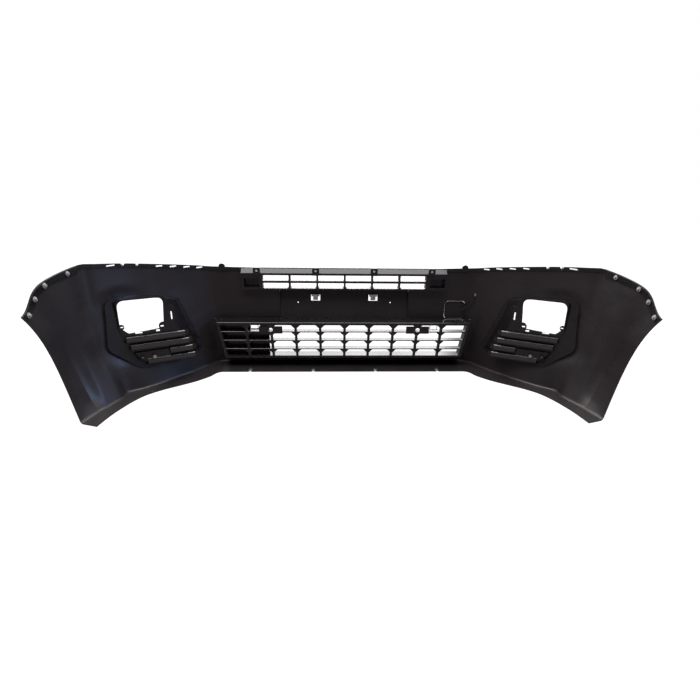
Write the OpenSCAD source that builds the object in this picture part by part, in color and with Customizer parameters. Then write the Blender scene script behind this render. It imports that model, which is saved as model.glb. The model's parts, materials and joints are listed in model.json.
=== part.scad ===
/* [Cover] */
// Width over the two wing tips
cover_w = 1804; // [1600:4:2100]
// Depth from the inner face of the front wall back to the wing tips
wing_reach = 612; // [540:2:720]
// Height of the wall at the headlamp corner
corner_h = 467; // [440:1:560]
// Height of the wall at the centre
centre_h = 406; // [396:1:430]
// Height of the wing tip
tip_h = 376; // [340:1:420]
// Wall thickness of the moulded cover
wall_t = 3; // [2.6:0.1:4]

/* [Wheel arch] */
// Radius of the wheel arch edge
arch_r = 370; // [340:1:430]
// Height of the wheel centre above the flange
wheel_z = 120; // [90:1:150]
// Width of the raised band that follows the arch
flare_w = 76; // [50:1:100]

/* [Bottom flange] */
// Depth of the flange along the front
flange_front = 118; // [80:1:130]
// Depth of the flange along the swept corners
flange_side = 70; // [55:1:85]
// Spacing of the four undertray holes
tray_pitch = 256; // [210:1:300]
// Diameter of the undertray holes
tray_hole_d = 9; // [7:0.5:12]

/* [Number plate panel] */
// Width of the plate panel
plate_w = 530; // [440:1:560]
// Height of the plate panel
plate_h = 124; // [110:1:125]
// Spacing of the plate screws
plate_pitch = 380; // [300:1:440]
// Diameter of the plate screw holes
plate_hole_d = 5; // [4:0.5:7]

/* [Upper grille] */
// Width of the six open columns together
upper_w = 660; // [560:1:700]
// Height of the upper grille opening
upper_h = 52; // [44:1:56]
// Height of the lower edge of the upper opening
upper_z = 328; // [326:1:332]
// Depth of the upper grille bars
upper_bar_d = 28; // [20:1:40]
// Spacing of the four top screw holes
tab_pitch = 232; // [180:1:250]
// Diameter of the top screw holes
tab_hole_d = 9; // [6.5:0.5:12]

/* [Lower grille] */
// Half width of the lower grille at its top
lower_top = 512; // [440:1:514]
// Half width of the lower grille at its foot
lower_foot = 485; // [420:1:490]
// Height of the lower grille opening
lower_h = 146; // [120:1:148]
// Height of the lower edge of the lower opening
lower_z = 46; // [40:1:50]
// Depth of the surround behind the wall
surround_d = 62; // [50:1:75]
// Depth of the grille slats
slat_d = 35; // [25:1:45]
// Number of slats between the two rails
slat_n = 3; // [2:1:4]
// Spacing of the upright ribs
rib_pitch = 99.5; // [80:0.5:110]
// Diameter of the hole in the two fixing lugs
lug_hole_d = 18; // [10:1:20]

/* [Fog lamp trims] */
// Width of the fog lamp opening
fog_w = 137; // [110:1:142]
// Height of the fog lamp opening
fog_h = 118; // [100:1:120]
// Wall thickness of the trims
trim_t = 2.5; // [2:0.1:3]
// Height of each louvre bar
louvre_h = 20; // [14:1:22]
// Spacing of the louvre bars
louvre_pitch = 30; // [27:1:31]
// Diameter of the trim screws
screw_d = 5; // [4:0.5:6]

/* [Towing eye cover] */
// Width of the towing eye cover
tow_w = 84; // [60:1:90]
// Height of the towing eye cover
tow_h = 76; // [60:1:80]
// Play round the towing eye cover
tow_play = 0.8; // [0.5:0.1:1.5]

/* [Hidden] */

$fn = 48;
gap = 0.3;                  // play between mouldings that sit on each other
surround_t = 2.5;
plate_z = lower_z + lower_h + surround_t + gap;  // the plate panel stands on the grille surround
over = 1;                   // how far a cutter runs past a face
half_w = cover_w / 2 - wall_t;  // inner face of the wing tips
lean = 10;                  // how far the foot of the front wall stands ahead of its zero
plate_top_d = -12;          // rear face of the plate panel at its top
front_d = min(-lean, plate_top_d) - wall_t;  // foremost face
mid_d = (wing_reach + front_d) / 2;
black = "#1c1c1f";
satin = "#2a2a2e";
steel = "#9a9a9c";

// ---- shape of the cover, +X half, depths run back from the front wall ----
flat_steps = 4;             // facets of the flat middle
spans = 3;                  // facets between two stations
// stations round the corner: [inset from the wing tip, depth as a share of the reach]
foot_at = [[404, -0.016], [348, 0.038], [286, 0.194], [226, 0.322], [165, 0.422], [110, 0.495],
    [106, 0.58], [87, 0.67]];
top_at = [[372, 0.008], [312, 0.057], [242, 0.152], [182, 0.229], [122, 0.324], [57, 0.462],
    [22, 0.541], [9, 0.77]];
// how far the top edge has risen from the centre to the corner at each station
rise_at = [0.05, 0.2, 0.41, 0.57, 0.75, 0.95, 1];
seam_at = [0.8, 0.32];      // how far it still stands above the tip on the fender seam
crease_inset = [73, 0];     // foot and top of the crease of the flare
arch_inset = [52, 0];       // foot and top of the arch edge
// bottom flange at each station: [direction of its free edge, share of the side depth]
flange_at = [[0, 0], [7, -0.37], [24, 0.56], [47, 1.12], [70, 1.19], [76, 0.94], [77, 1.41],
    [79, 1.43], [65, 1.38], [72, 1.24]];
bulge_at = [1.7, 1.7, 1.7, 1.7, 1.7, 1.7, 2.2, 2.4, 3, 3];  // how early each station fills out

function mix(a, b, t) = a + (b - a) * t;
function unit(v) = v / norm(v);
function arch_d(z) = wing_reach + sqrt(arch_r ^ 2 - (tip_h - wheel_z) ^ 2)
    - sqrt(arch_r ^ 2 - (z - wheel_z) ^ 2);
function seam_z(share) = mix(tip_h, corner_h, share);
// Catmull-Rom curve through a list of points
function curve(p, i, t) = let (a = p[max(i - 1, 0)], b = p[i], c = p[min(i + 1, len(p) - 1)],
    d = p[min(i + 2, len(p) - 1)])
    0.5 * (2 * b + (c - a) * t + (2 * a - 5 * b + 4 * c - d) * t ^ 2
        + (3 * b - a - 3 * c + d) * t ^ 3);

foot_flat = half_w - foot_at[0][0];
top_flat = half_w - top_at[0][0];
last = len(flange_at) - 1;
// a station holds foot x, foot depth, top x, top depth, top z, free edge x, free edge depth, bulge
function flange_w(k) = mix(flange_front, flange_side, flange_at[k][1]);
function station(k, fx, fd, tx, td, tz) = [fx, fd, tx, td, tz,
    fx - flange_w(k) * sin(flange_at[k][0]), fd + flange_w(k) * cos(flange_at[k][0]), bulge_at[k]];
function corner_station(k) = station(k, half_w - foot_at[k][0], foot_at[k][1] * wing_reach,
    half_w - top_at[k][0], top_at[k][1] * wing_reach,
    k < len(rise_at) ? mix(centre_h, corner_h, rise_at[k]) : seam_z(seam_at[0]));
stations = [
    for (i = [0:flat_steps - 1]) let (s = i / flat_steps)
        station(0, s * foot_flat, -lean, s * top_flat, top_at[0][1] * wing_reach, centre_h),
    for (k = [0:len(foot_at) - 1]) corner_station(k),
    station(last - 1, half_w - crease_inset[0], arch_d(0) - flare_w, half_w - crease_inset[1],
        arch_d(seam_z(seam_at[1])) - flare_w, seam_z(seam_at[1])),
    station(last, half_w - arch_inset[0], arch_d(0), half_w - arch_inset[1], wing_reach, tip_h),
];
half_columns = [
    for (i = [0:len(stations) - 2], s = [0:1:(i < flat_steps ? 0 : spans - 1)])
        curve(stations, i, s / spans),
    stations[len(stations) - 1],
];
half_n = len(half_columns) - 1;
crease_i = half_n - spans;  // from here on the columns follow the arch
corner_i = flat_steps + 6 * spans;         // column at the corner of headlamp and fender
// rows: first the flange as shares of its depth, then the wall as shares of its height
flange_rows = [0, 0.5, 0.87];
wall_rows = [0.03, 0.1, 0.2, 0.3, 0.4, 0.5, 0.6, 0.7, 0.8, 0.9, 1];
row_n = len(flange_rows) + len(wall_rows);

function bulge(c, v) = 1 - (1 - v) ^ c[7];
function on_flange(c, s) = [mix(c[5], c[0], s), mix(c[6], c[1], s), wall_t];
// from the corner to the crease the wall turns little by little from its own depth to the arch's
function turned_d(c, v, z, e) = let (a = half_columns[corner_i], b = half_columns[crease_i],
    share = mix((c[1] - a[1]) / (b[1] - a[1]), (c[3] - a[3]) / (b[3] - a[3]), v))
    mix(mix(a[1], a[3], e), arch_d(z) - flare_w, share);
function on_wall(i, c, v) = let (z = mix(wall_t, c[4], v), e = bulge(c, v),
    follow = (i - crease_i) / spans)
    [mix(c[0], c[2], e), i <= corner_i ? max(-lean, mix(c[1], c[3], e))
        : i <= crease_i ? turned_d(c, v, z, e) : arch_d(z) - flare_w * (1 - follow), z];
function inner_point(i, j) = let (c = half_columns[abs(i)], p = j < len(flange_rows)
    ? on_flange(c, flange_rows[j]) : on_wall(abs(i), c, wall_rows[j - len(flange_rows)]))
    [sign(i) * p[0], p[1], p[2]];
grid = [for (i = [-half_n:half_n]) [for (j = [0:row_n - 1]) inner_point(i, j)]];
function at(i, j) = grid[min(max(i + half_n, 0), 2 * half_n)][min(max(j, 0), row_n - 1)];
function inward(i, j) = unit(cross(at(i, j + 1) - at(i, j - 1), at(i + 1, j) - at(i - 1, j)));
normals = [for (i = [-half_n:half_n]) [for (j = [0:row_n - 1]) inward(i, j)]];
function lifted(i, j, by) = at(i, j) + by * normals[i + half_n][j];
// depth of the inner face of the wall at a place
function wall_d(x, z) = lookup(abs(x), [for (i = [0:half_n]) let (c = half_columns[i],
    p = on_wall(i, c, min(1, (z - wall_t) / (c[4] - wall_t)))) [p[0], p[1]]]);

// a closed skin between two stacks of points of the same size, its triangles mirrored before middle
module between(near, far, middle = 0) {
    m = len(near);
    n = len(near[0]);
    function id(s, i, j) = s * m * n + i * n + j;
    edge = [for (j = [0:n - 1]) [0, j], for (i = [1:m - 1]) [i, n - 1],
        for (j = [n - 2:-1:0]) [m - 1, j], for (i = [m - 2:-1:1]) [i, 0]];
    polyhedron(points = [for (s = [near, far], col = s, p = col) p], faces = [
        for (i = [0:m - 2], j = [0:n - 2], s = [0, 1])
            let (q = [id(s, i, j), id(s, i + 1, j), id(s, i + 1, j + 1), id(s, i, j + 1)],
                t = i < middle ? [[q[1], q[2], q[3]], [q[1], q[3], q[0]]]
                    : [[q[0], q[1], q[2]], [q[0], q[2], q[3]]])
            each s == 0 ? t : [for (f = t) [f[2], f[1], f[0]]],
        for (k = [0:len(edge) - 1]) let (a = edge[k], b = edge[(k + 1) % len(edge)]) each [
            [id(0, a[0], a[1]), id(1, b[0], b[1]), id(1, a[0], a[1])],
            [id(0, a[0], a[1]), id(0, b[0], b[1]), id(1, b[0], b[1])]],
    ]);
}
// the wall between two lifts off its inner face, over a range of columns and rows
module sheet(i0, i1, j0, j1, low, high) {
    between([for (i = [i0:i1]) [for (j = [j0:j1]) lifted(i, j, high)]],
        [for (i = [i0:i1]) [for (j = [j0:j1]) lifted(i, j, low)]], -i0);
}
// the room behind the wall, from a lift off its inner face back to a depth
module room_behind(i0, i1, j0, j1, lift, back) {
    between([for (i = [i0:i1]) [for (j = [j0:j1]) let (p = lifted(i, j, lift)) [p[0], back, p[2]]]],
        [for (i = [i0:i1]) [for (j = [j0:j1]) lifted(i, j, lift)]]);
}
module placed() {
    translate([0, -mid_d, 0]) children();
}
module both_sides() {
    children();
    mirror([1, 0, 0]) children();
}
// stands an outline drawn in width and height up, from one depth to another
module upright(d0, d1) {
    translate([0, d1, 0]) rotate([90, 0, 0]) linear_extrude(d1 - d0) children();
}
// outline with round corners
function corner(p, i, r) = let (n = len(p), a = p[i], u = unit(p[(i + n - 1) % n] - a),
    w = unit(p[(i + 1) % n] - a), half = acos(u * w) / 2, back = r / tan(half),
    m = a + unit(u + w) * r / sin(half), s = a + u * back - m, e = a + w * back - m,
    turn = sign(cross(s, e)), sweep = turn * acos(max(-1, min(1, unit(s) * unit(e)))))
    [for (k = [0:4]) m + [s[0] * cos(sweep * k / 4) - s[1] * sin(sweep * k / 4),
        s[0] * sin(sweep * k / 4) + s[1] * cos(sweep * k / 4)]];
function rounded(p, r) = [for (i = [0:len(p) - 1]) each (r[i] > 0 ? corner(p, i, r[i]) : [p[i]])];
// outline moved in by a wall thickness
function inset(o, t) = let (n = len(o)) [for (i = [0:n - 1]) let (a = o[(i + n - 1) % n],
    b = o[(i + 1) % n], u = unit(o[i] - a), w = unit(b - o[i]))
    o[i] + t / (1 + u * w) * [-u[1] - w[1], u[0] + w[0]]];
function box_outline(x0, z0, x1, z1) = [[x0, z0], [x1, z0], [x1, z1], [x0, z1]];

// ---- number plate panel: a shallow tray, its floor steeper than the wall ----
plate_foot_d = 3;
plate_r = 12;
plate_rim_t = 2.5;
plate_rim_out = 3.5;        // how far the rim of the panel stands behind the wall
clip_x = 118;               // spacing of the plate clips from the centre line
clip_w = 37;
clip_h = 24;
clip_z = plate_z + 87;
plate_hole_z = plate_z + 68;
plate_top = plate_z + plate_h;
function plate_d(z) = mix(plate_foot_d, plate_top_d, (z - plate_z) / plate_h);
plate_outline = rounded(box_outline(-plate_w / 2, plate_z, plate_w / 2, plate_top),
    [3, 3, plate_r, plate_r]);
plate_slope = (plate_top_d - plate_foot_d) / plate_h;
plate_plane = [0, plate_foot_d - plate_slope * plate_z, 0, plate_slope];
wall_slope = (wall_d(0, plate_top) - wall_d(0, plate_z)) / plate_h;
rim_plane = [0, wall_d(0, plate_z) + plate_rim_out - wall_slope * plate_z, 0, wall_slope];

// ---- upper grille ----
upper_cols = 6;
upper_cell = upper_w / upper_cols;
upper_rib_t = 7;
upper_mid_t = 9;            // height of the bar between the two rows
upper_frame_t = 6;
dummy_w = 80;               // blind end cells of the grille
upper_top = upper_z + upper_h;
upper_front_d = 1;          // front of the bars, just behind the face of the wall
upper_back_d = upper_front_d + upper_bar_d;
tab_w = 28;
tab_t = 3;
tab_foot_z = upper_z + upper_h;
tab_top_z = centre_h + 4;
tab_hole_z = centre_h - 8;
shelf_foot_z = upper_top + upper_frame_t;
shelf_t = 2.5;
tab_x = [for (k = [-1.5:1:1.5]) k * tab_pitch];

// ---- lower grille ----
lower_top_z = lower_z + lower_h;
surround_flare = 16;        // how much wider each side of the surround is at the wall
lower_back_d = surround_d;
lower_front_d = lower_back_d - slat_d;
slat_t = 3;
rail_t = 8;
rib_t = 10;
rib_lean = 0.97;            // ribs close in towards the foot by this share
slat_pitch = lower_h / (slat_n + 1);
rib_n = 9;
lug_x = 3 * rib_pitch;
lug_w = 94;
lug_h = 30;
lug_t = 4;
lug_z = lower_z + lower_h - 27;
gusset = 14;

// ---- fog lamp trims ----
fog_x0 = half_w - 236;      // inner edge of the lamp opening
fog_x1 = fog_x0 + fog_w;
fog_z0 = 214;
fog_z1 = fog_z0 + fog_h;
trim_foot_z = 82;
trim_top_z = fog_z1 + 8;
trim_x0_top = fog_x0 - 12;
trim_x0_foot = trim_x0_top - 82;
trim_x1 = fog_x1 + 22;
flange_lap = 9;             // how far the flange of the trim laps behind the wall
// a sloping plane is [x, depth there, slope along x, slope along z]
mouth_plane = [trim_x0_foot, 10, 0.93, 0];
back_plane = [trim_x0_foot, 150, 0.5, 0];
function plane_d(pl, p) = pl[1] + pl[2] * (p[0] - pl[0]) + pl[3] * p[1];
mouth_outline = rounded([[trim_x0_foot + 14, trim_foot_z + 2], [trim_x1 - 78, trim_foot_z - 4],
    [trim_x1, 170], [trim_x1, trim_top_z + 4], [trim_x0_top, trim_top_z - 38]],
    [16, 60, 50, 22, 20]);
back_outline = rounded([[trim_x0_foot + 24, trim_foot_z + 4], [trim_x1 - 92, trim_foot_z + 1],
    [fog_x1 + 3, 176], [fog_x1 + 3, trim_top_z - 3], [fog_x0 - 6, trim_top_z - 3]],
    [10, 50, 40, 16, 18]);
trim_i0 = flat_steps + spans - 1;         // columns of the wall that the trim lies behind
trim_i1 = flat_steps + 7 * spans;
trim_j0 = len(flange_rows);
trim_j1 = row_n - 1;

// closed solid between an outline on one sloping plane and its partner on another
module loft(a, pa, b, pb) {
    n = len(a);
    polyhedron(points = concat([for (p = a) [p[0], plane_d(pa, p), p[1]]],
        [for (p = b) [p[0], plane_d(pb, p), p[1]]]), faces = concat(
        [[for (i = [n - 1:-1:0]) i], [for (i = [0:n - 1]) n + i]],
        [for (i = [0:n - 1]) let (j = (i + 1) % n) each [[i, n + j, n + i], [i, j, n + j]]]));
}
function shifted(pl, by) = [pl[0], pl[1] + by, pl[2], pl[3]];
back_turn = atan(back_plane[2]);
function along(x) = (x - back_plane[0]) / cos(back_turn);
// draws in the rear face of a trim: x runs along it, y stands off it to the rear
module on_back() {
    translate([back_plane[0], back_plane[1], 0]) rotate([0, 0, back_turn]) children();
}
fog_outline = rounded([[along(fog_x0 + 8), fog_z0 + 6], [along(fog_x0 + 52), fog_z0 + 2],
    [along(fog_x1 - 22), fog_z0 - 2], [along(fog_x1), fog_z0 + 22], [along(fog_x1), fog_z1],
    [along(fog_x0), fog_z1]], [8, 30, 12, 14, 22, 20]);
louvre_z = [for (k = [0:3]) 180 - k * louvre_pitch];      // foot of each louvre bar
louvre_x0 = [30, 18, 8, 2];                               // inner ends, from the trim's foot edge
louvre_x1 = [fog_x1 - 8, fog_x1 - 18, fog_x0 + 2, fog_x0 + 74];
louvre_out = 12;
screw_x = fog_x0 + 49;      // place of the trim screw and of the locating hole beside it
screw_z = 118;
pin_x = fog_x0 + 85;
pin_z = screw_z + 1;
boss_d = 16;
boss_out = 18;
pad_out = 10;
// bracket of the lamp on the rear face
bracket_t = 3;
lug_at = [[along(fog_x0 + 9), fog_z0 + 12], [along(fog_x1) - 4, fog_z0 + 24]];
slot_list = [[along(fog_x0 - 20), fog_z0 + 48, 5, 30, 0], [lug_at[0][0], lug_at[0][1], 20, 5, 0],
    [along(fog_x0 + 85), fog_z0 - 3, 24, 6, 4], [along(fog_x0 + 27), fog_z0 - 3, 13, 7, 4],
    [lug_at[1][0] - 2, lug_at[1][1], 9, 4, 0]];

// ---- rails along the top edge ----
rail_wall = 2.5;
rail_up = 1;                // how far the rails stand above the wall
rail_down = 13;
post_x = half_w - 413;
post_w = 24;
post_up = 14;
notch_x = [half_w - 117, half_w - 151];
notch_w = 7;
fender_drop = 24;
slot_pitch = 40;
slot_w = 20;
slot_h = 5;
slot_drop = 6;              // how far the middle of a slot lies below the top of the wall
push_d = 8;
push_head = 16;
push_play = 0.8;            // between the head of a clip and the rail

// ---- towing eye cover ----
tow_x = -half_w + 439;
tow_z = 234;
tow_t = 2.5;
tow_r = 16;
tow_rim = 7;                // depth of the rim of the cover
peg_in = 10;                // place of the peg from the outer edge of the cover
peg_d = 5;
head_d = 9;
strap_play = 0.5;           // between the strap and the two pins that it hangs on
strap_t = 2;
strap_w = 7;
strap_bow = 14;             // slack of the strap at rest

// ---- undertray fixings ----
tray_x = [for (k = [-1.5:1:1.5]) k * tray_pitch];
tray_d = -lean + flange_front - 14;
flange_hole_d = 8;
flange_holes = [[half_w - 367, 122], [half_w - 190, 292]];   // liner holes in the swept flange

// =========================== pieces ===========================

// outline of the lower mouth, moved out by grow, with its sides out by flare as well
function mouth(grow = 0, flare = 0) = let (s = grow + flare)
    [[-lower_foot - s, lower_z - grow], [lower_foot + s, lower_z - grow],
        [lower_top + s, lower_top_z + grow], [-lower_top - s, lower_top_z + grow]];
mouth_front = [0, -12, 0, 0.045];          // front edge of the surround follows the lean of the wall
mouth_back = [0, surround_d, 0, 0];
module mouth_loft(grow, before, behind) {
    share = before / (surround_d - mouth_front[1]);
    loft(mouth(grow, surround_flare * (1 + share)), shifted(mouth_front, -before),
        mouth(grow, -surround_flare * behind / surround_d), shifted(mouth_back, behind));
}
module upper_cut(grow) {
    square_half = upper_w / 2 + dummy_w + grow;
    translate([-square_half, upper_z - upper_frame_t - grow])
        square([2 * square_half, upper_h + 2 * upper_frame_t + 2 * grow]);
}
module tow_outline(grow) {
    polygon(rounded(box_outline(tow_x - tow_w / 2 - grow, tow_z - tow_h / 2 - grow,
        tow_x + tow_w / 2 + grow, tow_z + tow_h / 2 + grow), [for (i = [0:3]) tow_r + grow]));
}

module bumper_skin() {
    color(black) placed() difference() {
        sheet(-half_n, half_n, 0, row_n - 1, -wall_t, 0);
        both_sides() {
            for (x = notch_x) rail_notch(x);
            rail_slots();
        }
        for (s = [-1, 1], h = flange_holes) translate([s * h[0], h[1], -over])
            cylinder(d = flange_hole_d, h = wall_t + 2 * over);
        upright(front_d - over, 60) {
            upper_cut(gap);
            tow_outline(tow_play);
            offset(delta = gap) polygon(plate_outline);
        }
        mouth_loft(surround_t + gap, 10, 0);
        both_sides() upright(front_d - over, wing_reach) polygon(mouth_outline);
        for (x = tray_x) translate([x, tray_d, -over]) cylinder(d = tray_hole_d, h = wall_t + 2 * over);
        for (x = tray_x) translate([x - 5, flange_front - lean - 6, -over])
            cube([10, 20, wall_t + 2 * over]);
    }
}

module plate_panel() {
    color(black) placed() difference() {
        loft(plate_outline, shifted(plate_plane, -wall_t), plate_outline, rim_plane);
        loft(inset(plate_outline, plate_rim_t), plate_plane,
            inset(plate_outline, plate_rim_t), shifted(rim_plane, over));
        for (s = [-1, 1]) {
            translate([s * clip_x - clip_w / 2, plate_top_d - 10, clip_z - clip_h / 2])
                cube([clip_w, 30, clip_h]);
            translate([s * plate_pitch / 2, 20, plate_hole_z]) rotate([90, 0, 0])
                cylinder(d = plate_hole_d, h = 40);
        }
    }
}

module lower_grille_surround() {
    color(satin) placed() difference() {
        mouth_loft(surround_t, 0, 0);
        mouth_loft(0, over, over);
    }
}

module upper_grille() {
    half = upper_w / 2 + dummy_w;
    color(satin) placed() {
        difference() {
            upright(upper_front_d, upper_back_d) difference() {
                upper_cut(0);
                for (i = [0:upper_cols - 1], j = [0, 1])
                    let (x = -upper_w / 2 + i * upper_cell + upper_rib_t / 2,
                        z = upper_z + j * (upper_h + upper_mid_t) / 2)
                    polygon(rounded(box_outline(x, z, x + upper_cell - upper_rib_t,
                        z + (upper_h - upper_mid_t) / 2), j == 0 ? [7, 7, 2, 2] : [2, 2, 3, 3]));
            }
            for (s = [-1, 1]) translate([s * (upper_w / 2 + dummy_w / 2 + 2) - dummy_w / 2 + 8,
                upper_front_d + 4, upper_z + 4]) cube([dummy_w - 20, upper_bar_d, upper_h - 16]);
        }
        // lead-in shelf behind the top band
        translate([-half, 0, 0]) rotate([90, 0, 90]) linear_extrude(2 * half)
            polygon([[upper_back_d, shelf_foot_z], [upper_back_d, shelf_foot_z + shelf_t],
                [10 + shelf_t, centre_h - 2], [10, centre_h - 2], [10, centre_h - 4],
                [upper_back_d - 6, shelf_foot_z + shelf_t], [upper_back_d - 6, shelf_foot_z]]);
        // screw tabs
        for (x = tab_x) difference() {
            upright(upper_back_d, upper_back_d + tab_t) polygon(rounded(box_outline(x - tab_w / 2, tab_foot_z,
                x + tab_w / 2, tab_top_z), [0, 0, 6, 6]));
            translate([x, upper_back_d + 10, tab_hole_z]) rotate([90, 0, 0])
                cylinder(d = tab_hole_d, h = 20);
        }
    }
}

module lower_grille() {
    color(satin) placed() difference() {
        union() {
            // rails and end posts
            upright(lower_front_d, lower_back_d) difference() {
                polygon(mouth(-gap, 0));
                translate([0, lower_z + rail_t]) polygon([
                    [-lower_foot + rail_t, 0], [lower_foot - rail_t, 0],
                    [lower_top - rail_t - 2, lower_h - 2 * rail_t],
                    [-lower_top + rail_t + 2, lower_h - 2 * rail_t]]);
            }
            // slats
            for (k = [1:slat_n]) let (z = lower_z + k * slat_pitch, w = slat_half(z))
                translate([-w, lower_front_d, z - slat_t / 2])
                    cube([2 * w, slat_d, slat_t]);
            // upright ribs with their gussets
            upright(lower_back_d - 8, lower_back_d + 3) for (k = [-(rib_n - 1) / 2:(rib_n - 1) / 2])
                rib(k * rib_pitch);
            // fixing lugs
            upright(lower_back_d - 1, lower_back_d + lug_t) for (s = [-1, 1])
                translate([s * lug_x - lug_w / 2, lug_z - lug_h / 2]) square([lug_w, lug_h]);
        }
        for (s = [-1, 1]) translate([s * lug_x, lower_back_d + 10, lug_z]) rotate([90, 0, 0])
            cylinder(d = lug_hole_d, h = 30);
    }
}
function slat_half(z) = mix(lower_foot, lower_top, (z - lower_z) / lower_h) - rail_t / 2;
function rib_x(x, z) = x * mix(rib_lean, 1, (z - lower_z) / lower_h);
module rib(x) {
    polygon([[rib_x(x, lower_z + 2) - rib_t / 2, lower_z + 2],
        [rib_x(x, lower_z + 2) + rib_t / 2, lower_z + 2],
        [x + rib_t / 2, lower_top_z - 2], [x - rib_t / 2, lower_top_z - 2]]);
    for (k = [1:slat_n + 1]) let (z = k > slat_n ? lower_top_z - rail_t + 1
        : lower_z + k * slat_pitch - slat_t / 2 + 1, c = rib_x(x, z))
        polygon([[c - rib_t / 2 - gusset, z], [c + rib_t / 2 + gusset, z],
            [c + rib_t / 2 - 1, z - gusset], [c - rib_t / 2 + 1, z - gusset]]);
}

module lower_grille_blanking_panel() {
    x0 = 3 * rib_pitch + 10;
    color(satin) placed() upright(lower_front_d - 3, lower_front_d - gap) difference() {
        polygon([[x0, lower_z + 5], [lower_foot - 4, lower_z + 5],
            [lower_top - 7, lower_top_z - 5], [x0, lower_top_z - 5]]);
        translate([x0 + 38, lower_top_z - 32]) square([38, 18]);
    }
}

module fog_trim() {
    difference() {
        union() {
            intersection() {
                loft(mouth_outline, mouth_plane, back_outline, back_plane);
                room_behind(trim_i0, trim_i1, trim_j0, trim_j1, gap, wing_reach);
            }
            intersection() {
                sheet(trim_i0, trim_i1, trim_j0, trim_j1, gap, gap + trim_t);
                upright(-60, wing_reach) offset(delta = flange_lap) polygon(mouth_outline);
            }
            on_back() {
                for (k = [0:3]) translate([0, 0, louvre_z[k]]) linear_extrude(louvre_h) louvre(k);
                for (p = [[screw_x, screw_z], [pin_x, pin_z]])
                    translate([along(p[0]), -trim_t, p[1]]) rotate([-90, 0, 0])
                        cylinder(d = boss_d, h = boss_out + trim_t);
                translate([0, pad_out, 0]) rotate([90, 0, 0]) linear_extrude(pad_out + 1)
                    polygon([[along(fog_x0 - 2), screw_z - 14], [along(fog_x0 + 30), screw_z - 26],
                        [along(fog_x0 + 62), screw_z - 24], [along(fog_x0 + 90), screw_z - 6],
                        [along(fog_x0 + 106), screw_z + 20], [along(fog_x0 + 2), screw_z + 20]]);
            }
        }
        loft(inset(mouth_outline, trim_t), shifted(mouth_plane, -over),
            inset(back_outline, trim_t), shifted(back_plane, -trim_t));
        on_back() {
            translate([0, 50, 0]) rotate([90, 0, 0]) linear_extrude(90) polygon(fog_outline);
            translate([0, 50, 0]) rotate([90, 0, 0]) linear_extrude(50)
                offset(delta = gap) bracket_area();
            for (p = [[screw_x, screw_z], [pin_x, pin_z]])
                translate([along(p[0]), -trim_t - over, p[1]]) rotate([-90, 0, 0])
                    cylinder(d = screw_d, h = boss_out + trim_t + 2 * over);
        }
    }
}
module louvre(k) {
    a = louvre_x0[k];
    b = along(louvre_x1[k]);
    polygon([[a, -1], [a + 40, louvre_out], [b - 6, louvre_out], [b, -1]]);
}

module bracket_lugs() {
    translate(lug_at[0]) circle(16);
    translate(lug_at[1]) circle(10);
}

module bracket_area() {
    polygon(rounded([[along(fog_x0 - 29), fog_z0 - 9], [along(fog_x1) - 4, fog_z0 - 11],
        [along(fog_x1 + 3), fog_z0 + 8], [along(fog_x1 + 3), fog_z0 + 48],
        [along(fog_x0 - 13), fog_z1 - 32], [along(fog_x0 - 29), fog_z1 - 32]], [6, 10, 4, 4, 4, 4]));
    bracket_lugs();
}

module fog_lamp_bracket() {
    on_back() translate([0, gap + bracket_t, 0]) rotate([90, 0, 0]) linear_extrude(bracket_t)
        difference() {
            bracket_area();
            difference() {
                polygon(fog_outline);
                bracket_lugs();
            }
            for (q = slot_list) translate([q[0], q[1]]) rotate(q[4]) square([q[2], q[3]], center = true);
        }
}

// ---- rails ----
rail_i0 = 3;                               // first column of the headlamp rail
rows_gap = [for (i = [0:half_n]) norm(at(i, row_n - 1) - at(i, row_n - 2))];
function rail_point(i, h, lift) = let (top = lifted(i, row_n - 1, lift),
    down = (lifted(i, row_n - 2, lift) - top) / rows_gap[i]) top - h * down;
module rail(i0, i1, low, high) {
    between([for (i = [i0:i1]) [for (h = [-low, 0, high]) rail_point(i, h, gap + rail_wall)]],
        [for (i = [i0:i1]) [for (h = [-low, 0, high]) rail_point(i, h, gap)]]);
}
function top_z(x) = lookup(x, [for (c = half_columns) [c[2], c[4]]]);
module headlamp_rail() {
    difference() {
        union() {
            rail(rail_i0, corner_i, rail_down, rail_up);
            let (d = wall_d(post_x, top_z(post_x)) + gap + rail_wall - 1)
                upright(d, d + 5) polygon(rounded(box_outline(post_x - post_w / 2,
                    top_z(post_x) - rail_down, post_x + post_w / 2, top_z(post_x) + post_up),
                    [0, 0, 10, 10]));
        }
        rail_slots();
        for (x = notch_x) rail_notch(x);
    }
}
module rail_slots() {
    for (x = [post_x + 84:slot_pitch:half_w - 50]) if (min([for (n = notch_x) abs(x - n)]) > 18)
        upright(-30, wing_reach) translate([x, top_z(x) - slot_drop])
            square([slot_w, slot_h], center = true);
}
module rail_notch(x) {
    upright(-30, wing_reach) translate([x, top_z(x)])
        polygon([[-notch_w, 5], [notch_w, 5], [0, -9]]);
}
fender_slots = [corner_i + 1, corner_i + 3, crease_i - 1, half_n - 1];
module fender_rail() {
    difference() {
        intersection() {
            sheet(corner_i, half_n, row_n - 3, row_n - 1, gap, gap + rail_wall);
            between([for (i = [corner_i:half_n]) [for (h = [-fender_drop, 4]) rail_point(i, h, 6)]],
                [for (i = [corner_i:half_n]) [for (h = [-fender_drop, 4]) rail_point(i, h, -4)]]);
        }
        for (i = fender_slots) on_seam(i, 0) translate([0, 0, -over]) cylinder(d = push_d + 1, h = 12);
    }
}
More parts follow.
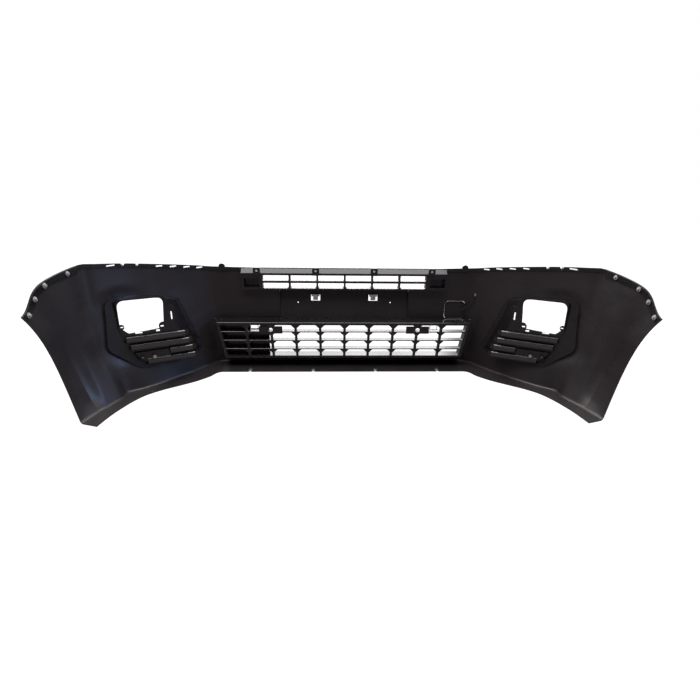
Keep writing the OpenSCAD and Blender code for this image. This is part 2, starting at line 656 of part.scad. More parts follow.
// stands along the normal of the wall on the fender seam, at a lift off the wall
module on_seam(i, lift) {
    n = normals[i + half_n][row_n - 1];
    translate(rail_point(i, -fender_drop / 2, lift))
        rotate([0, acos(n[2]), atan2(n[1], n[0])]) children();
}
module fender_push_clips() {
    for (i = fender_slots) on_seam(i, gap + rail_wall + push_play) {
        cylinder(d = push_head, h = 3);
        translate([0, 0, -rail_wall - push_play]) cylinder(d = push_d, h = rail_wall + 8);
    }
}

// ---- towing eye cover ----
tow_d = wall_d(tow_x, tow_z);              // inner face of the wall at the cover
peg_x = tow_x - tow_w / 2 + peg_in;
peg_z = tow_z + 6;
anchor_x = tow_x - tow_w / 2 - 36;
anchor_z = tow_z + 66;
strap_d = max(tow_d - wall_t + tow_rim, wall_d(anchor_x - strap_w, anchor_z)) + 2 * gap;
strap_back_d = strap_d + strap_t;
module tow_eye_cover() {
    color(black) placed() {
        difference() {
            upright(tow_d - wall_t, tow_d - wall_t + tow_rim) tow_outline(0);
            upright(tow_d - wall_t + tow_t, tow_d + tow_rim) tow_outline(-tow_t);
        }
        // peg that the strap hangs on
        translate([peg_x, tow_d - wall_t + 1, peg_z]) rotate([-90, 0, 0])
            headed_pin(strap_back_d - tow_d + wall_t - 1);
    }
}
// shaft with a head just behind the strap
module headed_pin(l, foot = 0) {
    rotate_extrude() polygon(concat([[0, 0]],
        foot > 0 ? [[head_d / 2, 0], [head_d / 2, foot], [peg_d / 2, foot]] : [[peg_d / 2, 0]],
        [[peg_d / 2, l + strap_play], [head_d / 2, l + strap_play],
            [head_d / 2, l + strap_play + 2], [0, l + strap_play + 2]]));
}
module tow_eye_cover_strap() {
    color(black) placed() difference() {
        upright(strap_d, strap_back_d) polygon(strap_outline);
        for (t = [0, 1]) translate([strap_mid(t)[0], strap_back_d + over, strap_mid(t)[1]])
            rotate([90, 0, 0]) cylinder(d = peg_d + 2 * strap_play, h = strap_t + 2 * over);
    }
}
// a bowed band from the peg up to the anchor
function strap_mid(t) = [mix(peg_x, anchor_x, t) - strap_bow * sin(180 * t), mix(peg_z, anchor_z, t)];
function strap_way(t) = unit(strap_mid(t + 0.01) - strap_mid(t - 0.01));
function strap_side(t, side) = let (u = strap_way(t)) strap_mid(t) + side * strap_w / 2 * [-u[1], u[0]];
function strap_end(t, turn) = let (u = strap_way(t), start = atan2(u[1], u[0]) + turn)
    [for (k = [-135:15:135]) strap_mid(t) + (peg_d + strap_w) / 2 * [cos(start + k), sin(start + k)]];
strap_outline = concat([for (t = [0.2:0.1:0.8]) strap_side(t, -1)], strap_end(1, 0),
    [for (t = [0.8:-0.1:0.15]) strap_side(t, 1)], strap_end(0, 180));
module tow_strap_pin() {
    d0 = wall_d(anchor_x - head_d / 2, anchor_z) + gap;
    color(steel) placed() translate([anchor_x, d0, anchor_z]) rotate([-90, 0, 0])
        headed_pin(strap_back_d - d0, strap_d - d0 - gap);
}

// ---- clips, screws and nuts ----
module plate_clip() {
    z0 = clip_z - clip_h / 2 + 4;
    d0 = plate_d(clip_z) - 2;
    difference() {
        union() {
            translate([clip_x - 10, d0 - 4, z0]) cube([20, 14, clip_h - 4 - gap]);
            translate([clip_x - clip_w / 2 + 2, d0 + 6 + wall_t, clip_z + clip_h / 2 - 5])
                cube([clip_w - 4, 3, 9]);
            translate([clip_x - 10, d0 + 6, clip_z + clip_h / 2 - 5])
                cube([20, 3 + wall_t, 5 - gap]);
        }
        translate([clip_x - 8.5, d0 - 5, z0 - 1]) cube([17, 12.5, clip_h - 6]);
    }
}
lower_clip_w = 30;
lower_clip_x = lug_x + lug_w / 2 + 2 + lower_clip_w / 2;
module lower_grille_clips() {
    z0 = lower_top_z - 24;
    color(steel) placed() both_sides() upright(lower_back_d + gap, lower_back_d + 9)
        translate([lower_clip_x - lower_clip_w / 2, z0]) difference() {
            square([lower_clip_w, 20]);
            translate([1.5, 1.5]) square([lower_clip_w - 3, 20]);
        }
}
module fog_trim_screw() {
    on_back() translate([along(screw_x), boss_out, screw_z]) rotate([90, 0, 0]) {
        translate([0, 0, -4]) difference() {
            cylinder(d = 13, h = 4);
            translate([0, 0, -1]) cylinder(d = 5.5, h = 3, $fn = 6);
        }
        cylinder(d = screw_d - 0.1, h = 14);
    }
}
nut_w = 16;
nut_l = 22;
nut_t = 1.2;
module undertray_spring_nuts() {
    color(steel) placed() for (x = tray_x) translate([x, tray_d, wall_t]) difference() {
        union() {
            translate([-nut_w / 2, -nut_l / 2, 0]) cube([nut_w, nut_l, nut_t]);
            cylinder(d = tray_hole_d + 2, h = 6);
        }
        translate([0, 0, -over]) cylinder(d = tray_hole_d - 2, h = 9);
    }
}

module place_left(c = black) {
    color(c) placed() children();
}
module place_right(c = black) {
    color(c) placed() mirror([1, 0, 0]) children();
}
module fog_trim_left() { place_left() fog_trim(); }
module fog_trim_right() { place_right() fog_trim(); }
module fog_lamp_bracket_left() { place_left() fog_lamp_bracket(); }
module fog_lamp_bracket_right() { place_right() fog_lamp_bracket(); }

module headlamp_rail_left() { place_left() headlamp_rail(); }
module headlamp_rail_right() { place_right() headlamp_rail(); }
module fender_rail_left() { place_left() fender_rail(); }
module fender_rail_right() { place_right() fender_rail(); }
module fender_push_clips_left() { place_left() fender_push_clips(); }
module fender_push_clips_right() { place_right() fender_push_clips(); }
module plate_clip_left() { place_left(steel) plate_clip(); }
module plate_clip_right() { place_right(steel) plate_clip(); }
module fog_trim_screw_left() { place_left(steel) fog_trim_screw(); }
module fog_trim_screw_right() { place_right(steel) fog_trim_screw(); }

bumper_skin();
plate_panel();
lower_grille_surround();
upper_grille();
lower_grille();
lower_grille_blanking_panel();
fog_trim_left();
fog_trim_right();
fog_lamp_bracket_left();
fog_lamp_bracket_right();
headlamp_rail_left();
headlamp_rail_right();
fender_rail_left();
fender_rail_right();
tow_eye_cover();
tow_eye_cover_strap();
tow_strap_pin();
plate_clip_left();
plate_clip_right();
lower_grille_clips();
fog_trim_screw_left();
fog_trim_screw_right();
undertray_spring_nuts();
fender_push_clips_left();
fender_push_clips_right();
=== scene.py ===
import json
import math

import bmesh
import bpy
import numpy as np
from bpy.props import FloatProperty, FloatVectorProperty, IntProperty, PointerProperty
from mathutils import Matrix, Vector


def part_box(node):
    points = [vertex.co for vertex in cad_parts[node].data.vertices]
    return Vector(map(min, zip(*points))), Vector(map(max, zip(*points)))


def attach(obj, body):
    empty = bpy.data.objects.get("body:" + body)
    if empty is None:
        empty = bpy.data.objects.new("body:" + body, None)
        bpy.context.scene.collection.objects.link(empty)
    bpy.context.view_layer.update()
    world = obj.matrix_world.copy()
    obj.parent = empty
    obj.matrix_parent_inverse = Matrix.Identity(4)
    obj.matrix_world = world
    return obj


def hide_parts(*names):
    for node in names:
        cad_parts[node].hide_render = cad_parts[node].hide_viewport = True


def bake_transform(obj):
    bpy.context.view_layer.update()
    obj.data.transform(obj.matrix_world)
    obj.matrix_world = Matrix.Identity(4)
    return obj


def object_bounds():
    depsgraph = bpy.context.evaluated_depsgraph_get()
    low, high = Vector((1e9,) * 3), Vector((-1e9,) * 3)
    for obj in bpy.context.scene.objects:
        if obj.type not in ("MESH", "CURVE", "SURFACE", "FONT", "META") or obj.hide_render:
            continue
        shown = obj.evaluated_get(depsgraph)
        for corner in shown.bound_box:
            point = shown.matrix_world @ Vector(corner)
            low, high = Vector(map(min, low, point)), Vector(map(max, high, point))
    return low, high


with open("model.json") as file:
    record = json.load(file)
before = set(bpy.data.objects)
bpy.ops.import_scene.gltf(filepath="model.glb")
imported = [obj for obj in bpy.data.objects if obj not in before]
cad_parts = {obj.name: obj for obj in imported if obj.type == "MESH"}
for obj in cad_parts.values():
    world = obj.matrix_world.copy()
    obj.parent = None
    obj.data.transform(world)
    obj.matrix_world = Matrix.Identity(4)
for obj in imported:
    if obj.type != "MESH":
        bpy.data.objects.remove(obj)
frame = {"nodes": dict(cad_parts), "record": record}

bl_info = {
    "name": "Bumper cover",
    "version": (1, 0, 0),
    "blender": (4, 5, 0),
    "location": "3D View > Sidebar > Bumper",
    "description": "Builds a moulded front bumper cover seen from its inner side",
    "category": "Add Mesh",
}

# ---- sizes of the cover, in millimetres; depth runs back from the front wall ----
REACH = 612.0                           # how far the wings reach back
LEAN = 10.0                             # the foot of the front wall stands this far ahead
WALL = 3.0                              # thickness of the wall
HALF_W = 899.0
CORNER_H, CENTRE_H, TIP_H = 467.0, 406.0, 376.0
ARCH_R, WHEEL_Z, FLARE_W = 370.0, 120.0, 76.0
FLANGE_FRONT, FLANGE_SIDE = 118.0, 70.0
CAD_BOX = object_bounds()
MID = REACH - CAD_BOX[1][1] * 1000      # depth of the origin of the frame
GAP = 0.3                               # play between two mouldings

# stations round the corner: inset from the wing tip, depth as a share of the reach
FOOT_AT = ((404, -0.016), (348, 0.038), (286, 0.194), (226, 0.322), (165, 0.422),
           (110, 0.495), (106, 0.58), (87, 0.67))
TOP_AT = ((372, 0.008), (312, 0.057), (242, 0.152), (182, 0.229), (122, 0.324),
          (57, 0.462), (22, 0.541), (9, 0.77))
# rise of the top edge from the middle to the corner, and its fall along the fender seam
RISE_AT = (0.05, 0.2, 0.41, 0.57, 0.75, 0.95, 1)
SEAM_AT = (0.8, 0.32)
# insets of the foot and the top at the fold before the flare and at the wheel arch
CREASE_INSET = (73, 0)
ARCH_INSET = (52, 0)
# turn of the flange in degrees, and its width as a share of the way from front to side
FLANGE_AT = ((0, 0), (7, -0.37), (24, 0.56), (47, 1.12), (70, 1.19),
             (76, 0.94), (77, 1.41), (79, 1.43), (65, 1.38), (72, 1.24))
BULGE_AT = (1.7, 1.7, 1.7, 1.7, 1.7, 1.7, 2.2, 2.4, 3, 3)
FLAT = 4                                # stations before the first bend

# what the columns of a station hold
FOOT_X, FOOT_D, TOP_X, TOP_D, TOP_Z, EDGE_X, EDGE_D, BULGE = range(8)

# lower mouth and its surround
LOWER_TOP, LOWER_FOOT, LOWER_H, LOWER_Z = 512.0, 485.0, 146.0, 46.0
SURROUND_D, SURROUND_T, SURROUND_FLARE = 62.0, 2.5, 16.0
SLATS = 3
# plate panel and upper grille
PLATE_W, PLATE_H = 530.0, 124.0
PLATE_Z = LOWER_Z + LOWER_H + SURROUND_T + GAP
UPPER_HALF, UPPER_Z, UPPER_H, UPPER_FRAME = 410.0, 328.0, 52.0, 6.0
# fog lamp opening and the trim round it
FOG_X0 = HALF_W - 236
FOG_X1 = FOG_X0 + 137
FOG_Z0, FOG_Z1 = 214.0, 332.0
TRIM_X0_TOP = FOG_X0 - 12
TRIM_X0_FOOT = TRIM_X0_TOP - 82
TRIM_X1 = FOG_X1 + 22
BACK_TURN = math.atan(0.5)              # the rear face of a lamp trim turns by this much
BACK_D = 150                            # its depth at the inner end of its foot
# towing eye cover, its peg, and the strap from the peg to a pin on the wall
TOW_X, TOW_Z, TOW_W, TOW_H = -HALF_W + 439, 234.0, 84.0, 76.0
TOW_R, TOW_PLAY = 16.0, 0.8
PEG = (TOW_X - TOW_W / 2 + 10, TOW_Z + 6)
ANCHOR = (TOW_X - TOW_W / 2 - 36, TOW_Z + 66)
PEG_D, PEG_PLAY, STRAP_W, STRAP_BOW, STRAP_CHAMFER = 5.0, 0.5, 7.0, 14.0, 0.4
# spring nuts of the undertray, under clearance holes in the flange
TRAY_PITCH = 256.0
NUT_PLACES = (-1.5, -0.5, 0.5, 1.5)     # in pitches from the middle
FLANGE_EDGE = FLANGE_FRONT - LEAN
NUT_D = FLANGE_EDGE - 14
NUT_W, NUT_L, NUT_T, NUT_HOLE_R = 16, 22, 1.2, 4.5
BARREL_R, BARREL_H, BORE_R = 5.5, 5.4, 3.5
# holes of the arch liner in the flange, and notches and slots along the top edge
LINER_HOLES = ((HALF_W - 367, 122), (HALF_W - 190, 292))
LINER_HOLE_R = 4
NOTCHES = (HALF_W - 117, HALF_W - 151)
SLOT_X0, SLOT_X1, SLOT_PITCH, SLOT_W, SLOT_H = HALF_W - 329, HALF_W - 50, 40, 20, 5
SLOTS = [x for x in range(int(SLOT_X0), int(SLOT_X1), SLOT_PITCH)
         if min(abs(x - notch) for notch in NOTCHES) > 18]

# depths at which the cutters of the front wall begin and end
AHEAD, BEHIND = -30, 60
UNDER, DRILL = -2, 8                    # foot and length of the drills through the flange
BAR_SIDES = 32
FLAT_FACES, FLANGE_LINES = 24, 8        # faces across the flat part, lines over the flange
METAL_EDGE, CLIP_EDGE = 0.3, 0.8        # rounds on the edges of metal parts and push clips


def mix(a, b, t):
    return a + (b - a) * t


def smooth(t):
    t = np.clip(t, 0, 1)
    return t * t * (3 - 2 * t)


def metres(x, d, z):
    """A place given by width, depth and height in millimetres, in the frame."""
    x, d, z = (np.asarray(v, float) for v in (x, d, z))
    return np.stack([x, d - MID, z], -1) / 1000


def arch_d(z):
    """Depth of the wheel arch's edge at a height."""
    tip = math.sqrt(ARCH_R ** 2 - (TIP_H - WHEEL_Z) ** 2)
    return REACH + tip - np.sqrt(ARCH_R ** 2 - (z - WHEEL_Z) ** 2)


def station(k, foot_x, foot_d, top_x, top_d, top_z):
    turn, share = FLANGE_AT[k]
    w, a = mix(FLANGE_FRONT, FLANGE_SIDE, share), math.radians(turn)
    flange = (foot_x - w * math.sin(a), foot_d + w * math.cos(a))
    return [foot_x, foot_d, top_x, top_d, top_z, *flange, BULGE_AT[k]]


def all_stations():
    """Foot, top and flange edge of the wall at each station, from the middle out to the arch."""
    seam = [mix(TIP_H, CORNER_H, s) for s in SEAM_AT]
    flat_foot, flat_top = HALF_W - FOOT_AT[0][0], HALF_W - TOP_AT[0][0]
    rows = []
    for i in range(FLAT):
        s = i / FLAT
        rows.append(station(0, s * flat_foot, -LEAN, s * flat_top, TOP_AT[0][1] * REACH, CENTRE_H))
    for k, (foot, top) in enumerate(zip(FOOT_AT, TOP_AT)):
        z = mix(CENTRE_H, CORNER_H, RISE_AT[k]) if k < len(RISE_AT) else seam[0]
        rows.append(station(k, HALF_W - foot[0], foot[1] * REACH,
                            HALF_W - top[0], top[1] * REACH, z))
    last = len(FLANGE_AT) - 1
    rows.append(station(last - 1, HALF_W - CREASE_INSET[0], arch_d(0) - FLARE_W,
                        HALF_W - CREASE_INSET[1], arch_d(seam[1]) - FLARE_W, seam[1]))
    rows.append(station(last, HALF_W - ARCH_INSET[0], arch_d(0),
                        HALF_W - ARCH_INSET[1], REACH, TIP_H))
    return np.array(rows)


STATIONS = all_stations()
LAST = len(STATIONS) - 1
CREASE = LAST - 1                       # from this station on the wall follows the arch
CORNER = FLAT + 6                       # station at the corner of headlamp and fender


def column(u):
    """Values of the wall at a place between two stations."""
    i = min(int(u), LAST - 1)
    t = u - i
    p = STATIONS
    b, c = p[i], p[i + 1]
    if i < FLAT:
        return mix(b, c, t)
    a, d = p[max(i - 1, 0)], p[min(i + 2, LAST)]
    square, cube = 2 * a - 5 * b + 4 * c - d, 3 * b - a - 3 * c + d
    return 0.5 * (2 * b + (c - a) * t + square * t ** 2 + cube * t ** 3)


def wall_line(u, v):
    """Inner face of the wall at place u, for heights given as shares v."""
    c = column(u)
    v = np.asarray(v, float)
    z = mix(WALL, c[TOP_Z], v)
    e = 1 - (1 - v) ** c[BULGE]
    if u <= CORNER:
        d = np.maximum(-LEAN, mix(c[FOOT_D], c[TOP_D], e))
    elif u <= CREASE:
        a, b = STATIONS[CORNER], STATIONS[CREASE]
        foot, top = ((c[k] - a[k]) / (b[k] - a[k]) for k in (FOOT_D, TOP_D))
        d = mix(mix(a[FOOT_D], a[TOP_D], e), arch_d(z) - FLARE_W, mix(foot, top, v))
    else:
        d = arch_d(z) - FLARE_W * (CREASE + 1 - u)
    return np.stack([mix(c[FOOT_X], c[TOP_X], e), d, z], -1)


def top_z(x):
    """Height of the wall's top edge at a width."""
    c = np.array([column(u) for u in np.linspace(0, LAST, 300)])
    return float(np.interp(abs(x), c[:, TOP_X], c[:, TOP_Z]))


def rounded(points, radii, steps=8):
    """A closed outline with round corners."""
    out, n = [], len(points)
    for i, (p, r) in enumerate(zip(points, radii)):
        p = np.array(p, float)
        if not r:
            out.append(p)
            continue
        a, b = np.array(points[i - 1], float) - p, np.array(points[(i + 1) % n], float) - p
        a, b = a / np.linalg.norm(a), b / np.linalg.norm(b)
        half = math.acos(np.clip(a @ b, -1, 1)) / 2
        back = r / math.tan(half)
        m = p + (a + b) / np.linalg.norm(a + b) * r / math.sin(half)
        s, e = p + a * back - m, p + b * back - m
        sweep = math.atan2(s[0] * e[1] - s[1] * e[0], s @ e)
        for k in range(steps + 1):
            w = sweep * k / steps
            c, q = math.cos(w), math.sin(w)
            out.append(m + np.array([s[0] * c - s[1] * q, s[0] * q + s[1] * c]))
    return np.array(out)


def block(x0, z0, x1, z1):
    return [(x0, z0), (x1, z0), (x1, z1), (x0, z1)]


def inset(o, t):
    """The outline moved in by t."""
    a, b = o - np.roll(o, 1, 0), np.roll(o, -1, 0) - o
    a, b = (v / np.maximum(np.linalg.norm(v, axis=1, keepdims=True), 1e-9) for v in (a, b))
    n = np.stack([-a[:, 1] - b[:, 1], a[:, 0] + b[:, 0]], -1)
    return o + t * n / (1 + (a * b).sum(1, keepdims=True))


FOG_MOUTH = rounded([(TRIM_X0_FOOT + 14, 84), (TRIM_X1 - 78, 78), (TRIM_X1, 170),
                     (TRIM_X1, FOG_Z1 + 12), (TRIM_X0_TOP, FOG_Z1 - 30)], (16, 60, 50, 22, 20))
PLATE_EDGE = rounded(block(-PLATE_W / 2, PLATE_Z, PLATE_W / 2, PLATE_Z + PLATE_H),
                     (3, 3, 12, 12))


# =========================== mesh helpers ===========================

def linked(name, data):
    """A new object of the scene."""
    o = bpy.data.objects.new(name, data)
    bpy.context.scene.collection.objects.link(o)
    return o


def solid(name, points, faces):
    """A mesh object in the frame from points in metres."""
    me = bpy.data.meshes.new(name)
    me.from_pydata([tuple(p) for p in points], [], [tuple(f) for f in faces])
    me.validate()
    bm = bmesh.new()
    bm.from_mesh(me)
    bmesh.ops.recalc_face_normals(bm, faces=bm.faces)
    bm.to_mesh(me)
    bm.free()
    return linked(name, me)


def loft(name, near, far):
    """A closed solid between two rings with as many points, given in metres."""
    n = len(near)
    faces = [tuple(range(n))[::-1], tuple(range(n, 2 * n))]
    faces += [(i, (i + 1) % n, n + (i + 1) % n, n + i) for i in range(n)]
    return solid(name, np.vstack([near, far]), faces)


def prism(name, outline, d0, d1):
    """An outline in width and height, stood up between two depths."""
    o = np.asarray(outline, float)
    return loft(name, *(metres(o[:, 0], np.full(len(o), d), o[:, 1]) for d in (d0, d1)))


def round_bar(name, at, way, radius, length):
    """A closed round bar of millimetre sizes, from a place along a way."""
    z = Vector(way).normalized()
    x = z.orthogonal().normalized()
    y = z.cross(x)
    turns = [2 * math.pi * k / BAR_SIDES for k in range(BAR_SIDES)]
    ring = [Vector(at) + radius * (x * math.cos(a) + y * math.sin(a)) for a in turns]
    near, far = np.array(ring), np.array([p + z * length for p in ring])
    return loft(name, metres(*near.T), metres(*far.T))


def flat_copy(o):
    """Turns what the modifiers make into the object's own plain mesh."""
    bpy.context.view_layer.update()
    deps = bpy.context.evaluated_depsgraph_get()
    me = bpy.data.meshes.new_from_object(o.evaluated_get(deps))
    old = o.data
    o.modifiers.clear()
    o.data = me
    me.name = o.name
    if old.users == 0:
        bpy.data.meshes.remove(old)
    return o


def combine(o, operation, others):
    """Joins other closed meshes to one, or cuts them out of it, and uses them up."""
    for other in others:
        m = o.modifiers.new("shape", "BOOLEAN")
        m.operation, m.solver, m.object = operation, "MANIFOLD", other
    flat_copy(o)
    for other in others:
        bpy.data.objects.remove(other)
    return o


def eased(o, width):
    """Breaks the edges of a moulding with a small round of a width in millimetres."""
    m = o.modifiers.new("edge", "BEVEL")
    m.width, m.segments = width / 1000, 2
    m.limit_method, m.angle_limit = "ANGLE", math.radians(35)
    m.use_clamp_overlap = True
    return flat_copy(o)


def shaded(o, angle=38):
    """Smooth shading with the edges over an angle in degrees kept crisp."""
    o.data.shade_smooth()
    o.data.set_sharp_from_angle(angle=math.radians(angle))
    return o


def placed(o, material, slot, body, *nodes):
    """Gives a finished piece its material and body, and hides the CAD nodes that it stands for."""
    if material is not None:
        o.data.materials.clear()
        o.data.materials.append(bpy.data.materials[material])
    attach(o, body)
    if nodes:
        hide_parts(*nodes)
    return o


def dressed(node, name, width):
    """A copy of a CAD node's mesh with its edges eased by a width in millimetres."""
    me = frame["nodes"][node].data.copy()
    o = linked(name, me)
    me.materials.clear()
    bm = bmesh.new()
    bm.from_mesh(me)
    # loose triangles are merged within a hundredth of a millimetre and flat faces become one
    bmesh.ops.remove_doubles(bm, verts=bm.verts, dist=0.00001)
    bmesh.ops.dissolve_limit(bm, angle_limit=math.radians(0.4), verts=bm.verts, edges=bm.edges)
    bm.to_mesh(me)
    bm.free()
    shaded(eased(o, width), 50)
    m = o.modifiers.new("flat faces", "WEIGHTED_NORMAL")
    m.keep_sharp = True
    return flat_copy(o)


def add(tree, kind, inputs=None, **settings):
    """One node with its settings and its links; an input is named or counted."""
    n = tree.nodes.new(kind)
    for key, value in settings.items():
        setattr(n, key, value)
    for key, value in (inputs or {}).items():
        if isinstance(value, bpy.types.NodeSocket):
            tree.links.new(value, n.inputs[key])
        else:
            n.inputs[key].default_value = value
    return n


# =========================== geometry nodes for what repeats ===========================

def new_tree(name, **inputs):
    """An empty tree with named inputs, given by kind and default, and its input sockets."""
    tree = bpy.data.node_groups.new(name, "GeometryNodeTree")
    tree.interface.new_socket("Geometry", in_out="OUTPUT", socket_type="NodeSocketGeometry")
    tree.interface.new_socket("Geometry", in_out="INPUT", socket_type="NodeSocketGeometry")
    for key, (kind, value) in inputs.items():
        item = tree.interface.new_socket(key, in_out="INPUT", socket_type="NodeSocket" + kind)
        if value is not None:
            item.default_value = value
    return tree, add(tree, "NodeGroupInput").outputs


def end_tree(tree, geometry, material):
    """Makes instances real, gives them their material and ends the tree."""
    real = add(tree, "GeometryNodeRealizeInstances", {"Geometry": geometry})
    done = add(tree, "GeometryNodeSetMaterial", {"Geometry": real.outputs[0], "Material": material})
    add(tree, "NodeGroupOutput", {0: done.outputs[0]})
    return tree


def rounded_bars():
    """Turns each edge of a mesh into a bar with a round-cornered section."""
    t, given = new_tree("rounded bars", Depth=("Float", 0.012), Height=("Float", 0.02),
                        Radius=("Float", 0.003), Material=("Material", None))
    line = add(t, "GeometryNodeMeshToCurve", {"Mesh": given["Geometry"]})
    upright = add(t, "GeometryNodeSetCurveNormal", {"Curve": line.outputs[0]}, mode="Z_UP")
    section = add(t, "GeometryNodeCurvePrimitiveQuadrilateral",
                  {"Width": given["Depth"], "Height": given["Height"]})
    soft = add(t, "GeometryNodeFilletCurve",
               {"Curve": section.outputs[0], "Count": 6, "Radius": given["Radius"]}, mode="POLY")
    bar = add(t, "GeometryNodeCurveToMesh",
              {"Curve": upright.outputs[0], "Profile Curve": soft.outputs[0], "Fill Caps": True})
    return end_tree(t, bar.outputs[0], given["Material"])


def row_of_pieces():
    """Sets copies of one piece out along X at an even pitch."""
    t, given = new_tree("row of pieces", Piece=("Object", None), Count=("Int", 4),
                        Pitch=("Float", 0.256), First=("Vector", None),
                        Material=("Material", None))
    step = add(t, "ShaderNodeCombineXYZ", {"X": given["Pitch"]})
    line = add(t, "GeometryNodeMeshLine",
               {"Count": given["Count"], "Start Location": given["First"],
                "Offset": step.outputs[0]})
    piece = add(t, "GeometryNodeObjectInfo", {"Object": given["Piece"]})
    out = add(t, "GeometryNodeInstanceOnPoints",
              {"Points": line.outputs[0], "Instance": piece.outputs["Geometry"]})
    return end_tree(t, out.outputs[0], given["Material"])


def grown(o, tree, values):
    """Runs an object's mesh through a node tree, with values for the tree's named inputs."""
    m = o.modifiers.new("nodes", "NODES")
    m.node_group = tree
    keys = {i.name: i.identifier for i in tree.interface.items_tree if i.in_out == "INPUT"}
    for key, value in values.items():
        m[keys[key]] = value
    o.update_tag()
    return flat_copy(o)


# =========================== materials ===========================

# patterns, in cells to a metre
CLOUDS = 7.0                            # uneven cooling, in patches of about 140 mm
FLOW, FLOW_DRAWN_OUT = 2.2, (3.0, 3.0, 22.0)    # flow lines 20 mm apart and 150 mm long
SPECKS = 260.0                          # dust, in specks of about 4 mm so that it shows
CRYSTALS = 700.0                        # zinc crystals of 1.4 mm
PATCHES = 90.0                          # dull patches of the zinc, about 11 mm
PAPER = 400.0                           # tooth of the floor paper, 2.5 mm
# depths of the bumps, in metres
GRAIN_DEPTH, WAVE_DEPTH = 0.0002, 0.002


def linear(code):
    """Linear colour of an sRGB hex value."""
    v = [int(code[i:i + 2], 16) / 255 for i in (1, 3, 5)]
    return tuple(c / 12.92 if c <= 0.04045 else ((c + 0.055) / 1.055) ** 2.4 for c in v) + (1.0,)


def new_material(name):
    m = bpy.data.materials.new(name)
    m.use_nodes = True
    m.node_tree.nodes.clear()
    return m


# the sockets 0, 6 and 7 of a mix node are the factor and the two colours

def moulded_plastic(name, base, worn, roughness, grain_mm, grain, flow, ior=1.49):
    """Injection-moulded plastic: a fine spark-eroded grain, faint flow lines and a little dust.

    The real grain is finer than half a millimetre and is drawn coarser, so that it shows."""
    t = new_material(name).node_tree
    place = add(t, "ShaderNodeTexCoord").outputs["Object"]
    fine = add(t, "ShaderNodeTexNoise", {"Vector": place, "Scale": 1000 / grain_mm, "Detail": 2.0})
    cloud = add(t, "ShaderNodeTexNoise",
                {"Vector": place, "Scale": CLOUDS, "Detail": 5.0, "Roughness": 0.6})
    stretched = add(t, "ShaderNodeMapping", {"Vector": place, "Scale": FLOW_DRAWN_OUT})
    lines = add(t, "ShaderNodeTexNoise",
                {"Vector": stretched.outputs[0], "Scale": FLOW, "Detail": 4.0})
    speck = add(t, "ShaderNodeTexNoise",
                {"Vector": place, "Scale": SPECKS, "Detail": 3.0, "Roughness": 0.7})
    dust = add(t, "ShaderNodeMapRange",
               {"Value": speck.outputs[0], "From Min": 0.66, "From Max": 0.74})
    tone = add(t, "ShaderNodeMapRange",
               {"Value": cloud.outputs[0], "From Min": 0.3, "From Max": 0.7, "To Max": 0.55})
    both = add(t, "ShaderNodeMath", {0: tone.outputs[0], 1: dust.outputs[0]}, operation="MAXIMUM")
    colour = add(t, "ShaderNodeMix", {0: both.outputs[0], 6: base, 7: worn}, data_type="RGBA")
    uneven = add(t, "ShaderNodeMath", {0: cloud.outputs[0], 1: lines.outputs[0]}, operation="ADD")
    rough = add(t, "ShaderNodeMapRange",
                {"Value": uneven.outputs[0], "From Min": 0.7, "From Max": 1.3,
                 "To Min": roughness - flow, "To Max": roughness + flow})
    bump = add(t, "ShaderNodeBump",
               {"Height": fine.outputs[0], "Strength": grain, "Distance": GRAIN_DEPTH})
    wave = add(t, "ShaderNodeBump", {"Height": lines.outputs[0], "Strength": 0.12,
                                     "Distance": WAVE_DEPTH, "Normal": bump.outputs[0]})
    shader = add(t, "ShaderNodeBsdfPrincipled",
                 {"Base Color": colour.outputs[2], "Roughness": rough.outputs[0],
                  "Normal": wave.outputs[0], "IOR": ior})
    add(t, "ShaderNodeOutputMaterial", {"Surface": shader.outputs[0]})


def plated_steel(name, base, worn, roughness):
    """Zinc-plated spring steel: bright, with a crystalline mottle and dull patches."""
    t = new_material(name).node_tree
    place = add(t, "ShaderNodeTexCoord").outputs["Object"]
    cells = add(t, "ShaderNodeTexVoronoi", {"Vector": place, "Scale": CRYSTALS})
    cloud = add(t, "ShaderNodeTexNoise", {"Vector": place, "Scale": PATCHES, "Detail": 4.0})
    colour = add(t, "ShaderNodeMix", {0: cloud.outputs[0], 6: base, 7: worn}, data_type="RGBA")
    rough = add(t, "ShaderNodeMapRange",
                {"Value": cells.outputs["Distance"], "To Min": roughness - 0.08,
                 "To Max": roughness + 0.15})
    bump = add(t, "ShaderNodeBump", {"Height": cells.outputs["Distance"], "Strength": 0.15,
                                     "Distance": GRAIN_DEPTH})
    shader = add(t, "ShaderNodeBsdfPrincipled",
                 {"Base Color": colour.outputs[2], "Roughness": rough.outputs[0],
                  "Normal": bump.outputs[0], "Metallic": 1.0})
    add(t, "ShaderNodeOutputMaterial", {"Surface": shader.outputs[0]})


# =========================== sizes and colours to change ===========================

class BumperSizes(bpy.types.PropertyGroup):
    fillet: FloatProperty(
        name="Foot fillet", description="Radius between the wall and the flange",
        default=0.009, min=0.003, max=0.02, unit="LENGTH")
    edge: FloatProperty(
        name="Edge round", description="Round on the edges of the mouldings, in millimetres",
        default=0.7, min=0.2, max=1.5)
    rows: IntProperty(
        name="Wall rows", description="Faces of the wall between its foot and its top",
        default=54, min=20, max=90)
    per_station: IntProperty(
        name="Faces per station", description="Faces between two stations of the corner",
        default=10, min=4, max=16)
    fold: FloatProperty(
        name="Flare fold", default=7.0, min=0.0, max=10.0,
        description="How far the wall folds outwards before the wheel arch flare, in millimetres")
    hollow: FloatProperty(
        name="Lamp hollow", default=8.0, min=0.0, max=10.0,
        description="Depth of the shallow hollow of the wall round the lamp trims, in millimetres")


